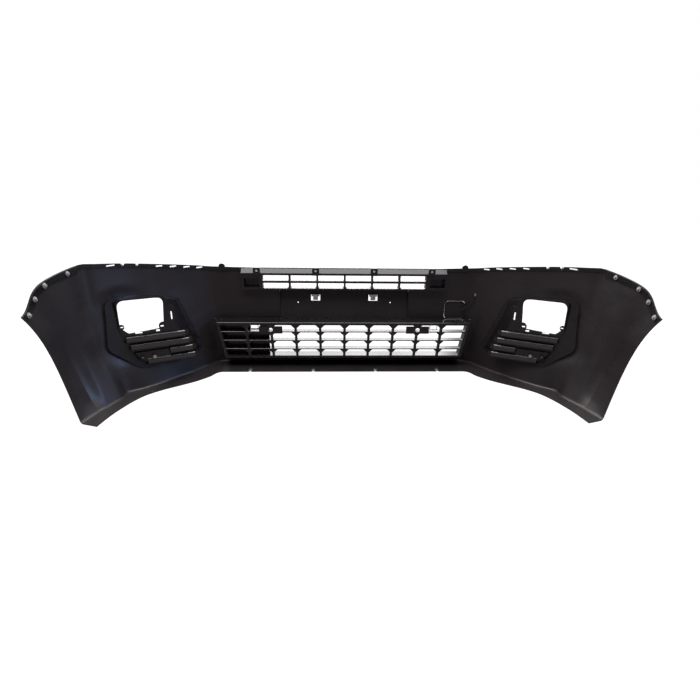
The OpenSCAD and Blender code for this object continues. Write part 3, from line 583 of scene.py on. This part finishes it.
class BumperColours(bpy.types.PropertyGroup):
    wall: FloatVectorProperty(
        name="Wall", description="Colour of the moulded wall",
        subtype="COLOR", size=4, default=linear("#1c191a"), min=0, max=1)
    floor: FloatVectorProperty(
        name="Floor", description="Colour of the studio floor",
        subtype="COLOR", size=4, default=linear("#f4f4f5"), min=0, max=1)
    bounce: FloatVectorProperty(
        name="Floor bounce", description="Colour of the light that the floor throws back",
        subtype="COLOR", size=4, default=linear("#6c6668"), min=0, max=1)


class BUMPER_OT_finishes(bpy.types.Operator):
    """Makes the materials and gives every carried-over node the one of its slot"""
    bl_idname = "bumper.finishes"
    bl_label = "Finishes"

    def execute(self, context):
        wall = context.scene.bumper_colours.wall[:]
        # polypropylene, moulded on its inner side without paint: a soft, broad satin sheen
        moulded_plastic("moulded_black_polypropylene", wall, linear("#262123"),
                        roughness=0.42, grain_mm=1.4, grain=0.25, flow=0.06)
        # glass-filled plastic of the grilles and trims: deeper black, sharper gloss on its ribs
        moulded_plastic("satin_black_grille_plastic", linear("#141314"), linear("#1e1c1e"),
                        roughness=0.26, grain_mm=1.0, grain=0.12, flow=0.05)
        # the same plastic where the tool was polished: bar and slat edges that draw a bright line
        moulded_plastic("polished_bar_plastic", linear("#1b1a1b"), linear("#232122"),
                        roughness=0.16, grain_mm=1.0, grain=0.03, flow=0.03, ior=1.8)
        # thermoplastic elastomer of the strap: matt and slightly lighter where it bends
        moulded_plastic("black_strap_elastomer", linear("#161617"), linear("#222224"),
                        roughness=0.62, grain_mm=0.8, grain=0.3, flow=0.04)
        # rolled spring steel, zinc plated and passivated: a bright grey mirror gone a little dull
        plated_steel("zinc_plated_steel", linear("#cdcfd2"), linear("#a2a5a9"), roughness=0.3)
        # nylon of the push clips, grey and a little glossy
        moulded_plastic("grey_nylon", linear("#8b8b8a"), linear("#7b7a78"),
                        roughness=0.4, grain_mm=0.8, grain=0.1, flow=0.05)
        by_slot = {"wall_pp": "moulded_black_polypropylene",
                   "moulded_pp": "satin_black_grille_plastic",
                   "zinc_steel": "zinc_plated_steel", "strap_elastomer": "black_strap_elastomer"}
        for s in frame["record"]["subparts"]:
            me = frame["nodes"][s["node"]].data
            me.materials.clear()
            me.materials.append(bpy.data.materials[by_slot[s["material_slot"]]])
        return {"FINISHED"}


class BUMPER_OT_cover(bpy.types.Operator):
    """Builds the moulded cover with its flange, fillets and openings"""
    bl_idname = "bumper.cover"
    bl_label = "Cover"

    def execute(self, context):
        sizes = context.scene.bumper_sizes
        half = list(np.linspace(0, FLAT, FLAT_FACES + 1)[:-1])
        for i in range(FLAT, LAST):
            half += [i + k / sizes.per_station for k in range(sizes.per_station)]
        half.append(LAST)
        side = np.array([self.section(u, sizes) for u in half])
        grid = np.concatenate([side[:0:-1] * np.array([-1, 1, 1]), side])
        us = np.array([-u for u in half[:0:-1]] + half)
        pressed = self.hollow(grid, sizes.hollow) + self.fold(us, grid[..., 2], sizes.fold)
        grid -= pressed[..., None] * self.inward(grid)
        outer = grid - WALL * self.inward(grid)
        # the underside of the flange's edge lies on the ground
        outer[:, 0, 2] = outer[:, 1, 2] = 0
        both = [g.reshape(-1, 3) for g in (grid, outer)]
        o = solid("cover_shell", metres(*np.concatenate(both).T), self.skin(*grid.shape[:2]))
        combine(o, "DIFFERENCE", self.openings())
        shaded(o, 30)
        crease = [g[np.abs(us) == CREASE].reshape(-1, 3) for g in (grid, outer)]
        self.sharpen(o.data, metres(*np.concatenate(crease).T))
        placed(o, "moulded_black_polypropylene", "wall_pp", "cover", "bumper_skin")
        return {"FINISHED"}

    @staticmethod
    def section(u, sizes):
        """Inner face at one place: the flange from its edge, the fillet and the wall to its top."""
        c, r = column(u), sizes.fillet * 1000
        edge = np.array([c[EDGE_X], c[EDGE_D], WALL])
        foot = np.array([c[FOOT_X], c[FOOT_D], WALL])
        low = r / (c[TOP_Z] - WALL)
        near, far = mix(edge, foot, 1 - r / np.linalg.norm(foot - edge)), wall_line(u, low)
        shares = np.linspace(0, 1, FLANGE_LINES)
        flange = [mix(edge, near, s) for s in shares]
        bend = [(1 - s) ** 2 * near + 2 * s * (1 - s) * foot + s ** 2 * far for s in shares[1:-1]]
        return np.vstack([flange, bend, wall_line(u, np.linspace(low, 1, sizes.rows))])

    @staticmethod
    def skin(m, n):
        """Faces of a closed shell whose inner and outer side are grids of m by n points."""
        def at(s, i, j):
            return s * m * n + i * n + j

        faces = []
        for s in (0, 1):
            for i in range(m - 1):
                for j in range(n - 1):
                    q = (at(s, i, j), at(s, i + 1, j), at(s, i + 1, j + 1), at(s, i, j + 1))
                    faces.append(q if s == 0 else q[::-1])
        ring = [(0, j) for j in range(n)] + [(i, n - 1) for i in range(1, m)]
        ring += [(m - 1, j) for j in range(n - 2, -1, -1)] + [(i, 0) for i in range(m - 2, 0, -1)]
        for a, b in zip(ring, ring[1:] + ring[:1]):
            faces.append((at(0, *a), at(1, *a), at(1, *b), at(0, *b)))
        return faces

    @staticmethod
    def sharpen(me, line):
        """Keeps the edges between the given places crisp."""
        known = {tuple(p) for p in np.round(line, 5)}
        on_line = [tuple(np.round(v.co, 5)) in known for v in me.vertices]
        sharp = me.attributes["sharp_edge"]
        for e in me.edges:
            if on_line[e.vertices[0]] and on_line[e.vertices[1]]:
                sharp.data[e.index].value = True

    @staticmethod
    def inward(grid):
        """Direction across the wall to the inside at each point."""
        along_wall, up = np.gradient(grid, axis=0), np.gradient(grid, axis=1)
        n = np.cross(up, along_wall)
        return n / np.linalg.norm(n, axis=-1, keepdims=True)

    @staticmethod
    def fold(us, z, depth):
        """How far each point folds outwards along the start of the wheel arch flare."""
        u = np.abs(us)
        across = np.where(u < CREASE, np.clip(1 - (CREASE - u) / 0.9, 0, 1),
                          np.clip(CREASE + 1 - u, 0, 1))
        # the fold fades in over the lowest 45 mm, and out well below the top edge
        foot, top = smooth((z - WALL) / 45), smooth((TIP_H - 75 - z) / 120)
        return depth * across[:, None] * foot * top

    @staticmethod
    def hollow(grid, depth):
        """How far each point sinks outwards round the outer side and the top of a lamp trim."""
        x, z = np.abs(grid[..., 0]), grid[..., 2]
        away = np.full(x.shape, 1e9)
        for a, b in zip(FOG_MOUTH, np.roll(FOG_MOUTH, -1, 0)):
            ab = b - a
            t = np.clip(((x - a[0]) * ab[0] + (z - a[1]) * ab[1]) / max(ab @ ab, 1e-9), 0, 1)
            away = np.minimum(away, np.hypot(x - a[0] - t * ab[0], z - a[1] - t * ab[1]))
        outer_side = smooth((x - TRIM_X0_TOP - 70) / 90)
        foot = smooth((z - 70) / 70)
        # deepest a little way off the mouth, and gone 36 mm further out
        deepest = 9.0
        share = np.where(away < deepest, 1 - (deepest - away) * 0.02,
                         1 - smooth((away - deepest) / 36))
        return depth * share * outer_side * foot

    @staticmethod
    def openings():
        """Cutters of everything that is open in the wall and the flange."""
        frame_z = UPPER_FRAME + GAP
        upper = block(-UPPER_HALF - GAP, UPPER_Z - frame_z, UPPER_HALF + GAP,
                      UPPER_Z + UPPER_H + frame_z)
        tow = rounded(block(TOW_X - TOW_W / 2, TOW_Z - TOW_H / 2,
                            TOW_X + TOW_W / 2, TOW_Z + TOW_H / 2), [TOW_R] * 4)
        made = [prism("cut_upper", upper, -20, BEHIND),
                prism("cut_tow", inset(tow, -TOW_PLAY), AHEAD, BEHIND),
                prism("cut_plate", inset(PLATE_EDGE, -GAP), AHEAD, BEHIND)]
        # the mouth narrows from ahead of the wall to the rear end of the surround
        g = SURROUND_T + GAP
        low, high = LOWER_Z - g, LOWER_Z + LOWER_H + g
        ring = []
        for share, d in ((1.3, -22.0), (0, SURROUND_D)):
            s = g + SURROUND_FLARE * share
            xs = np.array([-LOWER_FOOT - s, LOWER_FOOT + s, LOWER_TOP + s, -LOWER_TOP - s])
            ring.append(metres(xs, np.full(4, d), np.array([low, low, high, high])))
        made.append(loft("cut_mouth", *ring))
        for s in (1, -1):
            made.append(prism("cut_fog", FOG_MOUTH * (s, 1), AHEAD, REACH))
            for x, d in LINER_HOLES:
                made.append(round_bar("cut_hole", (s * x, d, UNDER), (0, 0, 1),
                                      LINER_HOLE_R, DRILL))
            for x in NOTCHES:
                z = top_z(x)
                notch = np.array([(x - 7, z + 5), (x, z - 9), (x + 7, z + 5)]) * (s, 1)
                made.append(prism("cut_notch", notch, AHEAD, REACH))
            for x in SLOTS:
                z = top_z(x) - 6
                slot = block(x - SLOT_W / 2, z - SLOT_H / 2, x + SLOT_W / 2, z + SLOT_H / 2)
                made.append(prism("cut_slot", np.array(slot) * (s, 1), AHEAD, REACH))
        for k in NUT_PLACES:
            x = k * TRAY_PITCH
            made.append(round_bar("cut_nut", (x, NUT_D, UNDER), (0, 0, 1), NUT_HOLE_R, DRILL))
            made.append(prism("cut_mouth_of_nut", block(x - 5, UNDER, x + 5, DRILL),
                              FLANGE_EDGE - 6, FLANGE_EDGE + 20))
        return made


def along(x):
    """Place along the rear face of a lamp trim for a width."""
    return (x - TRIM_X0_FOOT) / math.cos(BACK_TURN)


def on_back(side, x, off, z):
    """A place on a lamp trim's rear face: x runs along it, off stands off it to the rear."""
    c, s = math.cos(BACK_TURN), math.sin(BACK_TURN)
    return metres(side * (TRIM_X0_FOOT + x * c - off * s), BACK_D + x * s + off * c, z)


def on_back_prism(side, outline, off0, off1):
    rings = [np.array([on_back(side, x, off, z) for x, z in outline]) for off in (off0, off1)]
    return loft("cut_slot", *rings)


# foot, inner end along the rear face and width of the outer end of each louvre
LOUVRES = ((180, 44, FOG_X1 - 8), (150, 32, FOG_X1 - 18), (120, 22, FOG_X0 + 2),
           (90, 16, FOG_X0 + 74))
# slots beside and below the lamp opening: place along the rear face, height, width and depth
LAMP_SLOTS = ((along(FOG_X0 - 20), FOG_Z0 + 48, 5, 30), (along(FOG_X0 + 85), FOG_Z0 - 3, 24, 6),
              (along(FOG_X0 + 27), FOG_Z0 - 3, 13, 7))
# depth, height and corner radius of the rounded bars, in metres
LOUVRE_BAR = (0.014, 0.022, 0.005)
SLAT_BAR = (0.007, 0.005, 0.0024)
SURROUND_BAR = (0.0048, 0.004, 0.0019)

# material and slot of the mouldings that match the wall, and of the glossier ones
AS_WALL = ("moulded_black_polypropylene", "wall_pp")
AS_GRILLE = ("satin_black_grille_plastic", "moulded_pp")
# node of the frame, name of the piece that stands for it, finish
MOULDINGS = [
    ("plate_panel", "plate_tray", AS_WALL),
    ("lower_grille_surround", "grille_surround", AS_GRILLE),
    ("upper_grille", "upper_grille_moulding", AS_GRILLE),
    ("lower_grille", "lower_grille_moulding", AS_GRILLE),
    ("lower_grille_blanking_panel", "blanking_panel", AS_GRILLE)]
MOULDINGS += [
    (node + side, name + side, AS_GRILLE)
    for node, name in (("fog_trim", "lamp_trim"), ("fog_lamp_bracket", "lamp_bracket"),
                       ("headlamp_rail", "lamp_rail"), ("fender_rail", "wing_rail"))
    for side in ("_left", "_right")]
MOULDINGS.append(("tow_eye_cover", "towing_cover_moulding", AS_WALL))


class BUMPER_OT_mouldings(bpy.types.Operator):
    """Eases the edges of the mouldings that keep their shape"""
    bl_idname = "bumper.mouldings"
    bl_label = "Mouldings"

    def execute(self, context):
        edge = context.scene.bumper_sizes.edge
        for node, name, finish in MOULDINGS:
            body = "towing_cover" if node == "tow_eye_cover" else "cover"
            o = dressed(node, name, edge)
            if node.startswith("fog_trim"):
                side = 1 if node.endswith("left") else -1
                combine(o, "DIFFERENCE", [
                    on_back_prism(side, block(x - w / 2, z - h / 2, x + w / 2, z + h / 2), -6, 6)
                    for x, z, w, h in LAMP_SLOTS])
            placed(o, *finish, body, node)
        return {"FINISHED"}


class BUMPER_OT_louvres(bpy.types.Operator):
    """Lays rounded bars over the louvres of the lamp trims and the rear edges of the slats"""
    bl_idname = "bumper.louvres"
    bl_label = "Louvres and slat edges"

    def execute(self, context):
        tree = rounded_bars()
        for side, name in ((1, "louvre_bars_left"), (-1, "louvre_bars_right")):
            ends = []
            for z, x0, x1 in LOUVRES:
                ends += [on_back(side, x0, 6, z + 10), on_back(side, along(x1) - 5, 6, z + 10)]
            self.bars(name, tree, ends, LOUVRE_BAR)
        ends = []
        for k in range(1, SLATS + 1):
            z = LOWER_Z + k * LOWER_H / (SLATS + 1)
            half = mix(LOWER_FOOT, LOWER_TOP, (z - LOWER_Z) / LOWER_H) - 5
            ends += [metres(-half, SURROUND_D - 3, z), metres(half, SURROUND_D - 3, z)]
        self.bars("grille_slat_edges", tree, ends, SLAT_BAR)
        z = LOWER_Z + LOWER_H + SURROUND_T / 2
        ends = [metres(s * LOWER_TOP, SURROUND_D - 2.4, z) for s in (-1, 1)]
        self.bars("surround_top_edge", tree, ends, SURROUND_BAR)
        return {"FINISHED"}

    @staticmethod
    def bars(name, tree, ends, section):
        """Rounded bars between each two of the ends."""
        o = linked(name, bpy.data.meshes.new(name))
        pairs = [(i, i + 1) for i in range(0, len(ends), 2)]
        o.data.from_pydata([tuple(p) for p in ends], pairs, [])
        depth, height, radius = section
        grown(o, tree, {"Depth": depth, "Height": height, "Radius": radius,
                        "Material": bpy.data.materials["polished_bar_plastic"]})
        placed(shaded(o, 40), None, "moulded_pp", "cover")


class BUMPER_OT_fixings(bpy.types.Operator):
    """Makes the spring nuts of the undertray, the clips, the screws and the strap's pin"""
    bl_idname = "bumper.fixings"
    bl_label = "Fixings"

    def execute(self, context):
        nut = self.spring_nut()
        first = metres(NUT_PLACES[0] * TRAY_PITCH, NUT_D, WALL)
        nuts = linked("spring_nuts", bpy.data.meshes.new("spring_nuts"))
        grown(nuts, row_of_pieces(), {
            "Piece": nut, "Count": len(NUT_PLACES), "Pitch": TRAY_PITCH / 1000,
            "First": tuple(float(v) for v in first),
            "Material": bpy.data.materials["zinc_plated_steel"]})
        bpy.data.objects.remove(nut)
        placed(shaded(nuts), None, "zinc_steel", "cover", "undertray_spring_nuts")
        for node in ("plate_clip_left", "plate_clip_right", "lower_grille_clips",
                     "fog_trim_screw_left", "fog_trim_screw_right", "tow_strap_pin"):
            name = node.replace("plate_clip", "plate_spring_clip") + "_look"
            placed(dressed(node, name, METAL_EDGE), "zinc_plated_steel", "zinc_steel",
                   "cover", node)
        for side in ("left", "right"):
            node = "fender_push_clips_" + side
            placed(dressed(node, "push_clips_" + side, CLIP_EDGE), "grey_nylon", "moulded_pp",
                   "cover", node)
        return {"FINISHED"}

    @staticmethod
    def spring_nut():
        """A plate of spring steel with a round barrel."""
        outline = rounded(block(-NUT_W / 2, 0, NUT_W / 2, NUT_T), (0.4,) * 4, 2)
        plate = prism("spring_nut", outline, MID - NUT_L / 2, MID + NUT_L / 2)
        barrel = round_bar("barrel", (0, MID, NUT_T / 2), (0, 0, 1), BARREL_R, BARREL_H)
        hole = round_bar("hole", (0, MID, -1), (0, 0, 1), BORE_R, BARREL_H + 3.6)
        combine(plate, "UNION", [barrel])
        return eased(combine(plate, "DIFFERENCE", [hole]), 0.25)


class BUMPER_OT_strap(bpy.types.Operator):
    """Makes the bowed strap from the towing eye cover's peg to a pin on the wall"""
    bl_idname = "bumper.strap"
    bl_label = "Strap"

    def execute(self, context):
        low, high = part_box("tow_eye_cover_strap")
        d0, d1 = low[1] * 1000 + MID, high[1] * 1000 + MID
        # closer sections where the strap turns into the opening
        shares = np.concatenate([np.linspace(0, 0.03, 4)[:-1], np.linspace(0.03, 0.2, 40)[:-1],
                                 np.linspace(0.2, 1, 40)])
        w, c = STRAP_W / 2, STRAP_CHAMFER
        section = ((-w + c, d0), (w - c, d0), (w, d0 + c), (w, d1 - c),
                   (w - c, d1), (-w + c, d1), (-w, d1 - c), (-w, d0 + c))
        n = len(section)
        points = []
        for t in shares:
            way = self.middle(t + 0.005) - self.middle(t - 0.005)
            across = np.array([-way[1], way[0]]) / np.linalg.norm(way)
            points += [(*(self.middle(t) + side * across), d) for side, d in section]
        x, z, d = np.array(points).T
        faces = [tuple(range(n)), tuple(range(len(x) - n, len(x)))[::-1]]
        faces += [(k + i, k + (i + 1) % n, k + n + (i + 1) % n, k + n + i)
                  for k in range(0, len(x) - n, n) for i in range(n)]
        o = solid("towing_cover_strap", metres(x, d, z), faces)
        eye_r, hole_r = (PEG_D + STRAP_W) / 2, PEG_D / 2 + PEG_PLAY
        combine(o, "UNION", [self.at_end("eye", t, eye_r, d0, d1) for t in (0, 1)])
        combine(o, "DIFFERENCE", [self.at_end("hole", t, hole_r, d0 - 1, d1 + 1) for t in (0, 1)])
        shaded(o)
        o.data.materials.clear()
        o.data.materials.append(bpy.data.materials["black_strap_elastomer"])
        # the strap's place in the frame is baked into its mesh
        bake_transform(o)
        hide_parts("tow_eye_cover_strap")
        return {"FINISHED"}

    @staticmethod
    def middle(t):
        """Place on the strap's middle line, from the peg at 0 to the pin at 1."""
        bow = STRAP_BOW * math.sin(math.pi * t)
        return np.array([mix(PEG[0], ANCHOR[0], t) - bow, mix(PEG[1], ANCHOR[1], t)])

    @classmethod
    def at_end(cls, name, t, radius, d0, d1):
        """A round bar across the strap at one of its ends."""
        x, z = cls.middle(t)
        return round_bar(name, (x, d0, z), (0, 1, 0), radius, d1 - d0)


# name, place, aim, width and height, power and colour of the lamps
LAMPS = (
    ("top_soft_box", (0.2, 0.0, 2.6), (0, 0.0, 0.2), (3.6, 2.6), 165, "#fffaf9"),
    ("front_soft_box", (0.3, -2.6, 1.5), (0, -0.2, 0.2), (3.0, 1.2), 70, "#ffffff"),
    ("cool_soft_box", (-2.9, 0.3, 1.5), (0.8, 0.1, 0.2), (0.9, 1.0), 38, "#a0c0ff"))
# place of the camera, its turn, tip and roll in degrees, and its lens in millimetres
CAMERA_AT = (0.06133, (1868.117 - MID) / 1000, 0.74877)
CAMERA_TURNS = (2.6885, 20.3588, 0.9363)
CAMERA_LENS = 23.986
# glow of the floor paper as the camera sees it, and its share of what is seen there
PAPER_GLOW, GLOW_SHARE = 1.1, 0.88


class BUMPER_OT_stage(bpy.types.Operator):
    """Sets up the floor, the lamps, the world and the camera"""
    bl_idname = "bumper.stage"
    bl_label = "Stage"

    def execute(self, context):
        scene = context.scene
        scene.view_settings.view_transform = "Standard"
        self.floor(scene.bumper_colours)
        self.world(scene)
        for name, at, aim, size, power, colour in LAMPS:
            lamp = bpy.data.lights.new(name, "AREA")
            lamp.shape, lamp.size, lamp.size_y = "RECTANGLE", *size
            lamp.energy, lamp.color = power, linear(colour)[:3]
            o = linked(name, lamp)
            o.location = at
            way = Vector(aim) - Vector(at)
            o.rotation_euler = way.to_track_quat("-Z", "Y").to_euler()
        self.camera(scene)
        return {"FINISHED"}

    @staticmethod
    def floor(colours):
        paper_sheet = new_material("pale_studio_floor")
        t = paper_sheet.node_tree
        path = add(t, "ShaderNodeLightPath")
        place = add(t, "ShaderNodeTexCoord").outputs["Object"]
        paper = add(t, "ShaderNodeTexNoise", {"Vector": place, "Scale": PAPER})
        bump = add(t, "ShaderNodeBump", {"Height": paper.outputs[0], "Strength": 0.05,
                                         "Distance": GRAIN_DEPTH})
        # the light that comes back off the paper is held low, as on a wide dim studio floor
        seen = path.outputs["Is Camera Ray"]
        tone = add(t, "ShaderNodeMix", {0: seen, 6: colours.bounce[:], 7: colours.floor[:]},
                   data_type="RGBA")
        cloth = add(t, "ShaderNodeBsdfDiffuse",
                    {"Color": tone.outputs[2], "Normal": bump.outputs[0]})
        glow = add(t, "ShaderNodeEmission", {"Color": (1, 1, 1, 1), "Strength": PAPER_GLOW})
        share = add(t, "ShaderNodeMath", {0: seen, 1: GLOW_SHARE}, operation="MULTIPLY")
        out = add(t, "ShaderNodeMixShader",
                  {0: share.outputs[0], 1: cloth.outputs[0], 2: glow.outputs[0]})
        add(t, "ShaderNodeOutputMaterial", {"Surface": out.outputs[0]})
        # half a millimetre under the cover, and wide enough to fill the view
        low, far = -0.0005, 6
        o = solid("studio_floor", [(x, y, low) for x, y in block(-far, -far, far, far)],
                  [(0, 1, 2, 3)])
        o.data.materials.append(paper_sheet)

    @staticmethod
    def world(scene):
        world = bpy.data.worlds.new("studio")
        world.use_nodes = True
        scene.world = world
        t = world.node_tree
        t.nodes.clear()
        path = add(t, "ShaderNodeLightPath").outputs
        seen = add(t, "ShaderNodeMath", {0: path["Is Camera Ray"], 1: path["Is Transmission Ray"]},
                   operation="MAXIMUM")
        # a white wall of cloth ahead of the cover, a dim room behind the camera
        place = add(t, "ShaderNodeTexCoord").outputs["Generated"]
        way = add(t, "ShaderNodeSeparateXYZ", {"Vector": place})
        room = add(t, "ShaderNodeMapRange",
                   {"Value": way.outputs["Y"], "From Min": -0.75, "From Max": 0.65,
                    "To Min": 1.0, "To Max": 0.1}, interpolation_type="SMOOTHSTEP")
        strength = add(t, "ShaderNodeMath", {0: seen.outputs[0], 1: room.outputs[0]},
                       operation="MAXIMUM")
        back = add(t, "ShaderNodeBackground",
                   {"Color": (1, 1, 1, 1), "Strength": strength.outputs[0]})
        add(t, "ShaderNodeOutputWorld", {"Surface": back.outputs[0]})

    @staticmethod
    def camera(scene):
        """Stands behind and above the cover, a little to its left, and looks forward and down."""
        turn, tip, roll = (math.radians(a) for a in CAMERA_TURNS)
        right = Vector((-math.cos(turn), math.sin(turn), 0))
        ahead = Vector((-math.sin(turn), -math.cos(turn), 0))
        look = ahead * math.cos(tip) - Vector((0, 0, math.sin(tip)))
        up = ahead * math.sin(tip) + Vector((0, 0, math.cos(tip)))
        x = right * math.cos(roll) + up * math.sin(roll)
        y = up * math.cos(roll) - right * math.sin(roll)
        cam = bpy.data.cameras.new("camera")
        cam.sensor_width, cam.lens = 36.0, CAMERA_LENS
        o = linked("camera", cam)
        turned = Matrix((x, y, -look)).transposed().to_4x4()
        o.matrix_world = Matrix.Translation(CAMERA_AT) @ turned
        scene.camera = o


class BUMPER_PT_panel(bpy.types.Panel):
    """Lists the sizes, the colours and the steps that build the cover"""
    bl_label = "Bumper cover"
    bl_idname = "BUMPER_PT_panel"
    bl_space_type = "VIEW_3D"
    bl_region_type = "UI"
    bl_category = "Bumper"

    def draw(self, context):
        for group in (context.scene.bumper_sizes, context.scene.bumper_colours):
            box = self.layout.box()
            for key in group.__annotations__:
                box.prop(group, key)
        for step in STEPS:
            self.layout.operator(step.bl_idname)


STEPS = (BUMPER_OT_finishes, BUMPER_OT_cover, BUMPER_OT_mouldings, BUMPER_OT_louvres,
         BUMPER_OT_fixings, BUMPER_OT_strap, BUMPER_OT_stage)
CLASSES = (BumperSizes, BumperColours, *STEPS, BUMPER_PT_panel)


def register():
    for c in CLASSES:
        bpy.utils.register_class(c)
    bpy.types.Scene.bumper_sizes = PointerProperty(type=BumperSizes)
    bpy.types.Scene.bumper_colours = PointerProperty(type=BumperColours)


def unregister():
    del bpy.types.Scene.bumper_colours
    del bpy.types.Scene.bumper_sizes
    for c in reversed(CLASSES):
        bpy.utils.unregister_class(c)


def main():
    register()
    for step in STEPS:
        group, call = step.bl_idname.split(".")
        if getattr(getattr(bpy.ops, group), call)() != {"FINISHED"}:
            raise RuntimeError(step.bl_label + " did not finish")


if __name__ == "__main__":
    main()
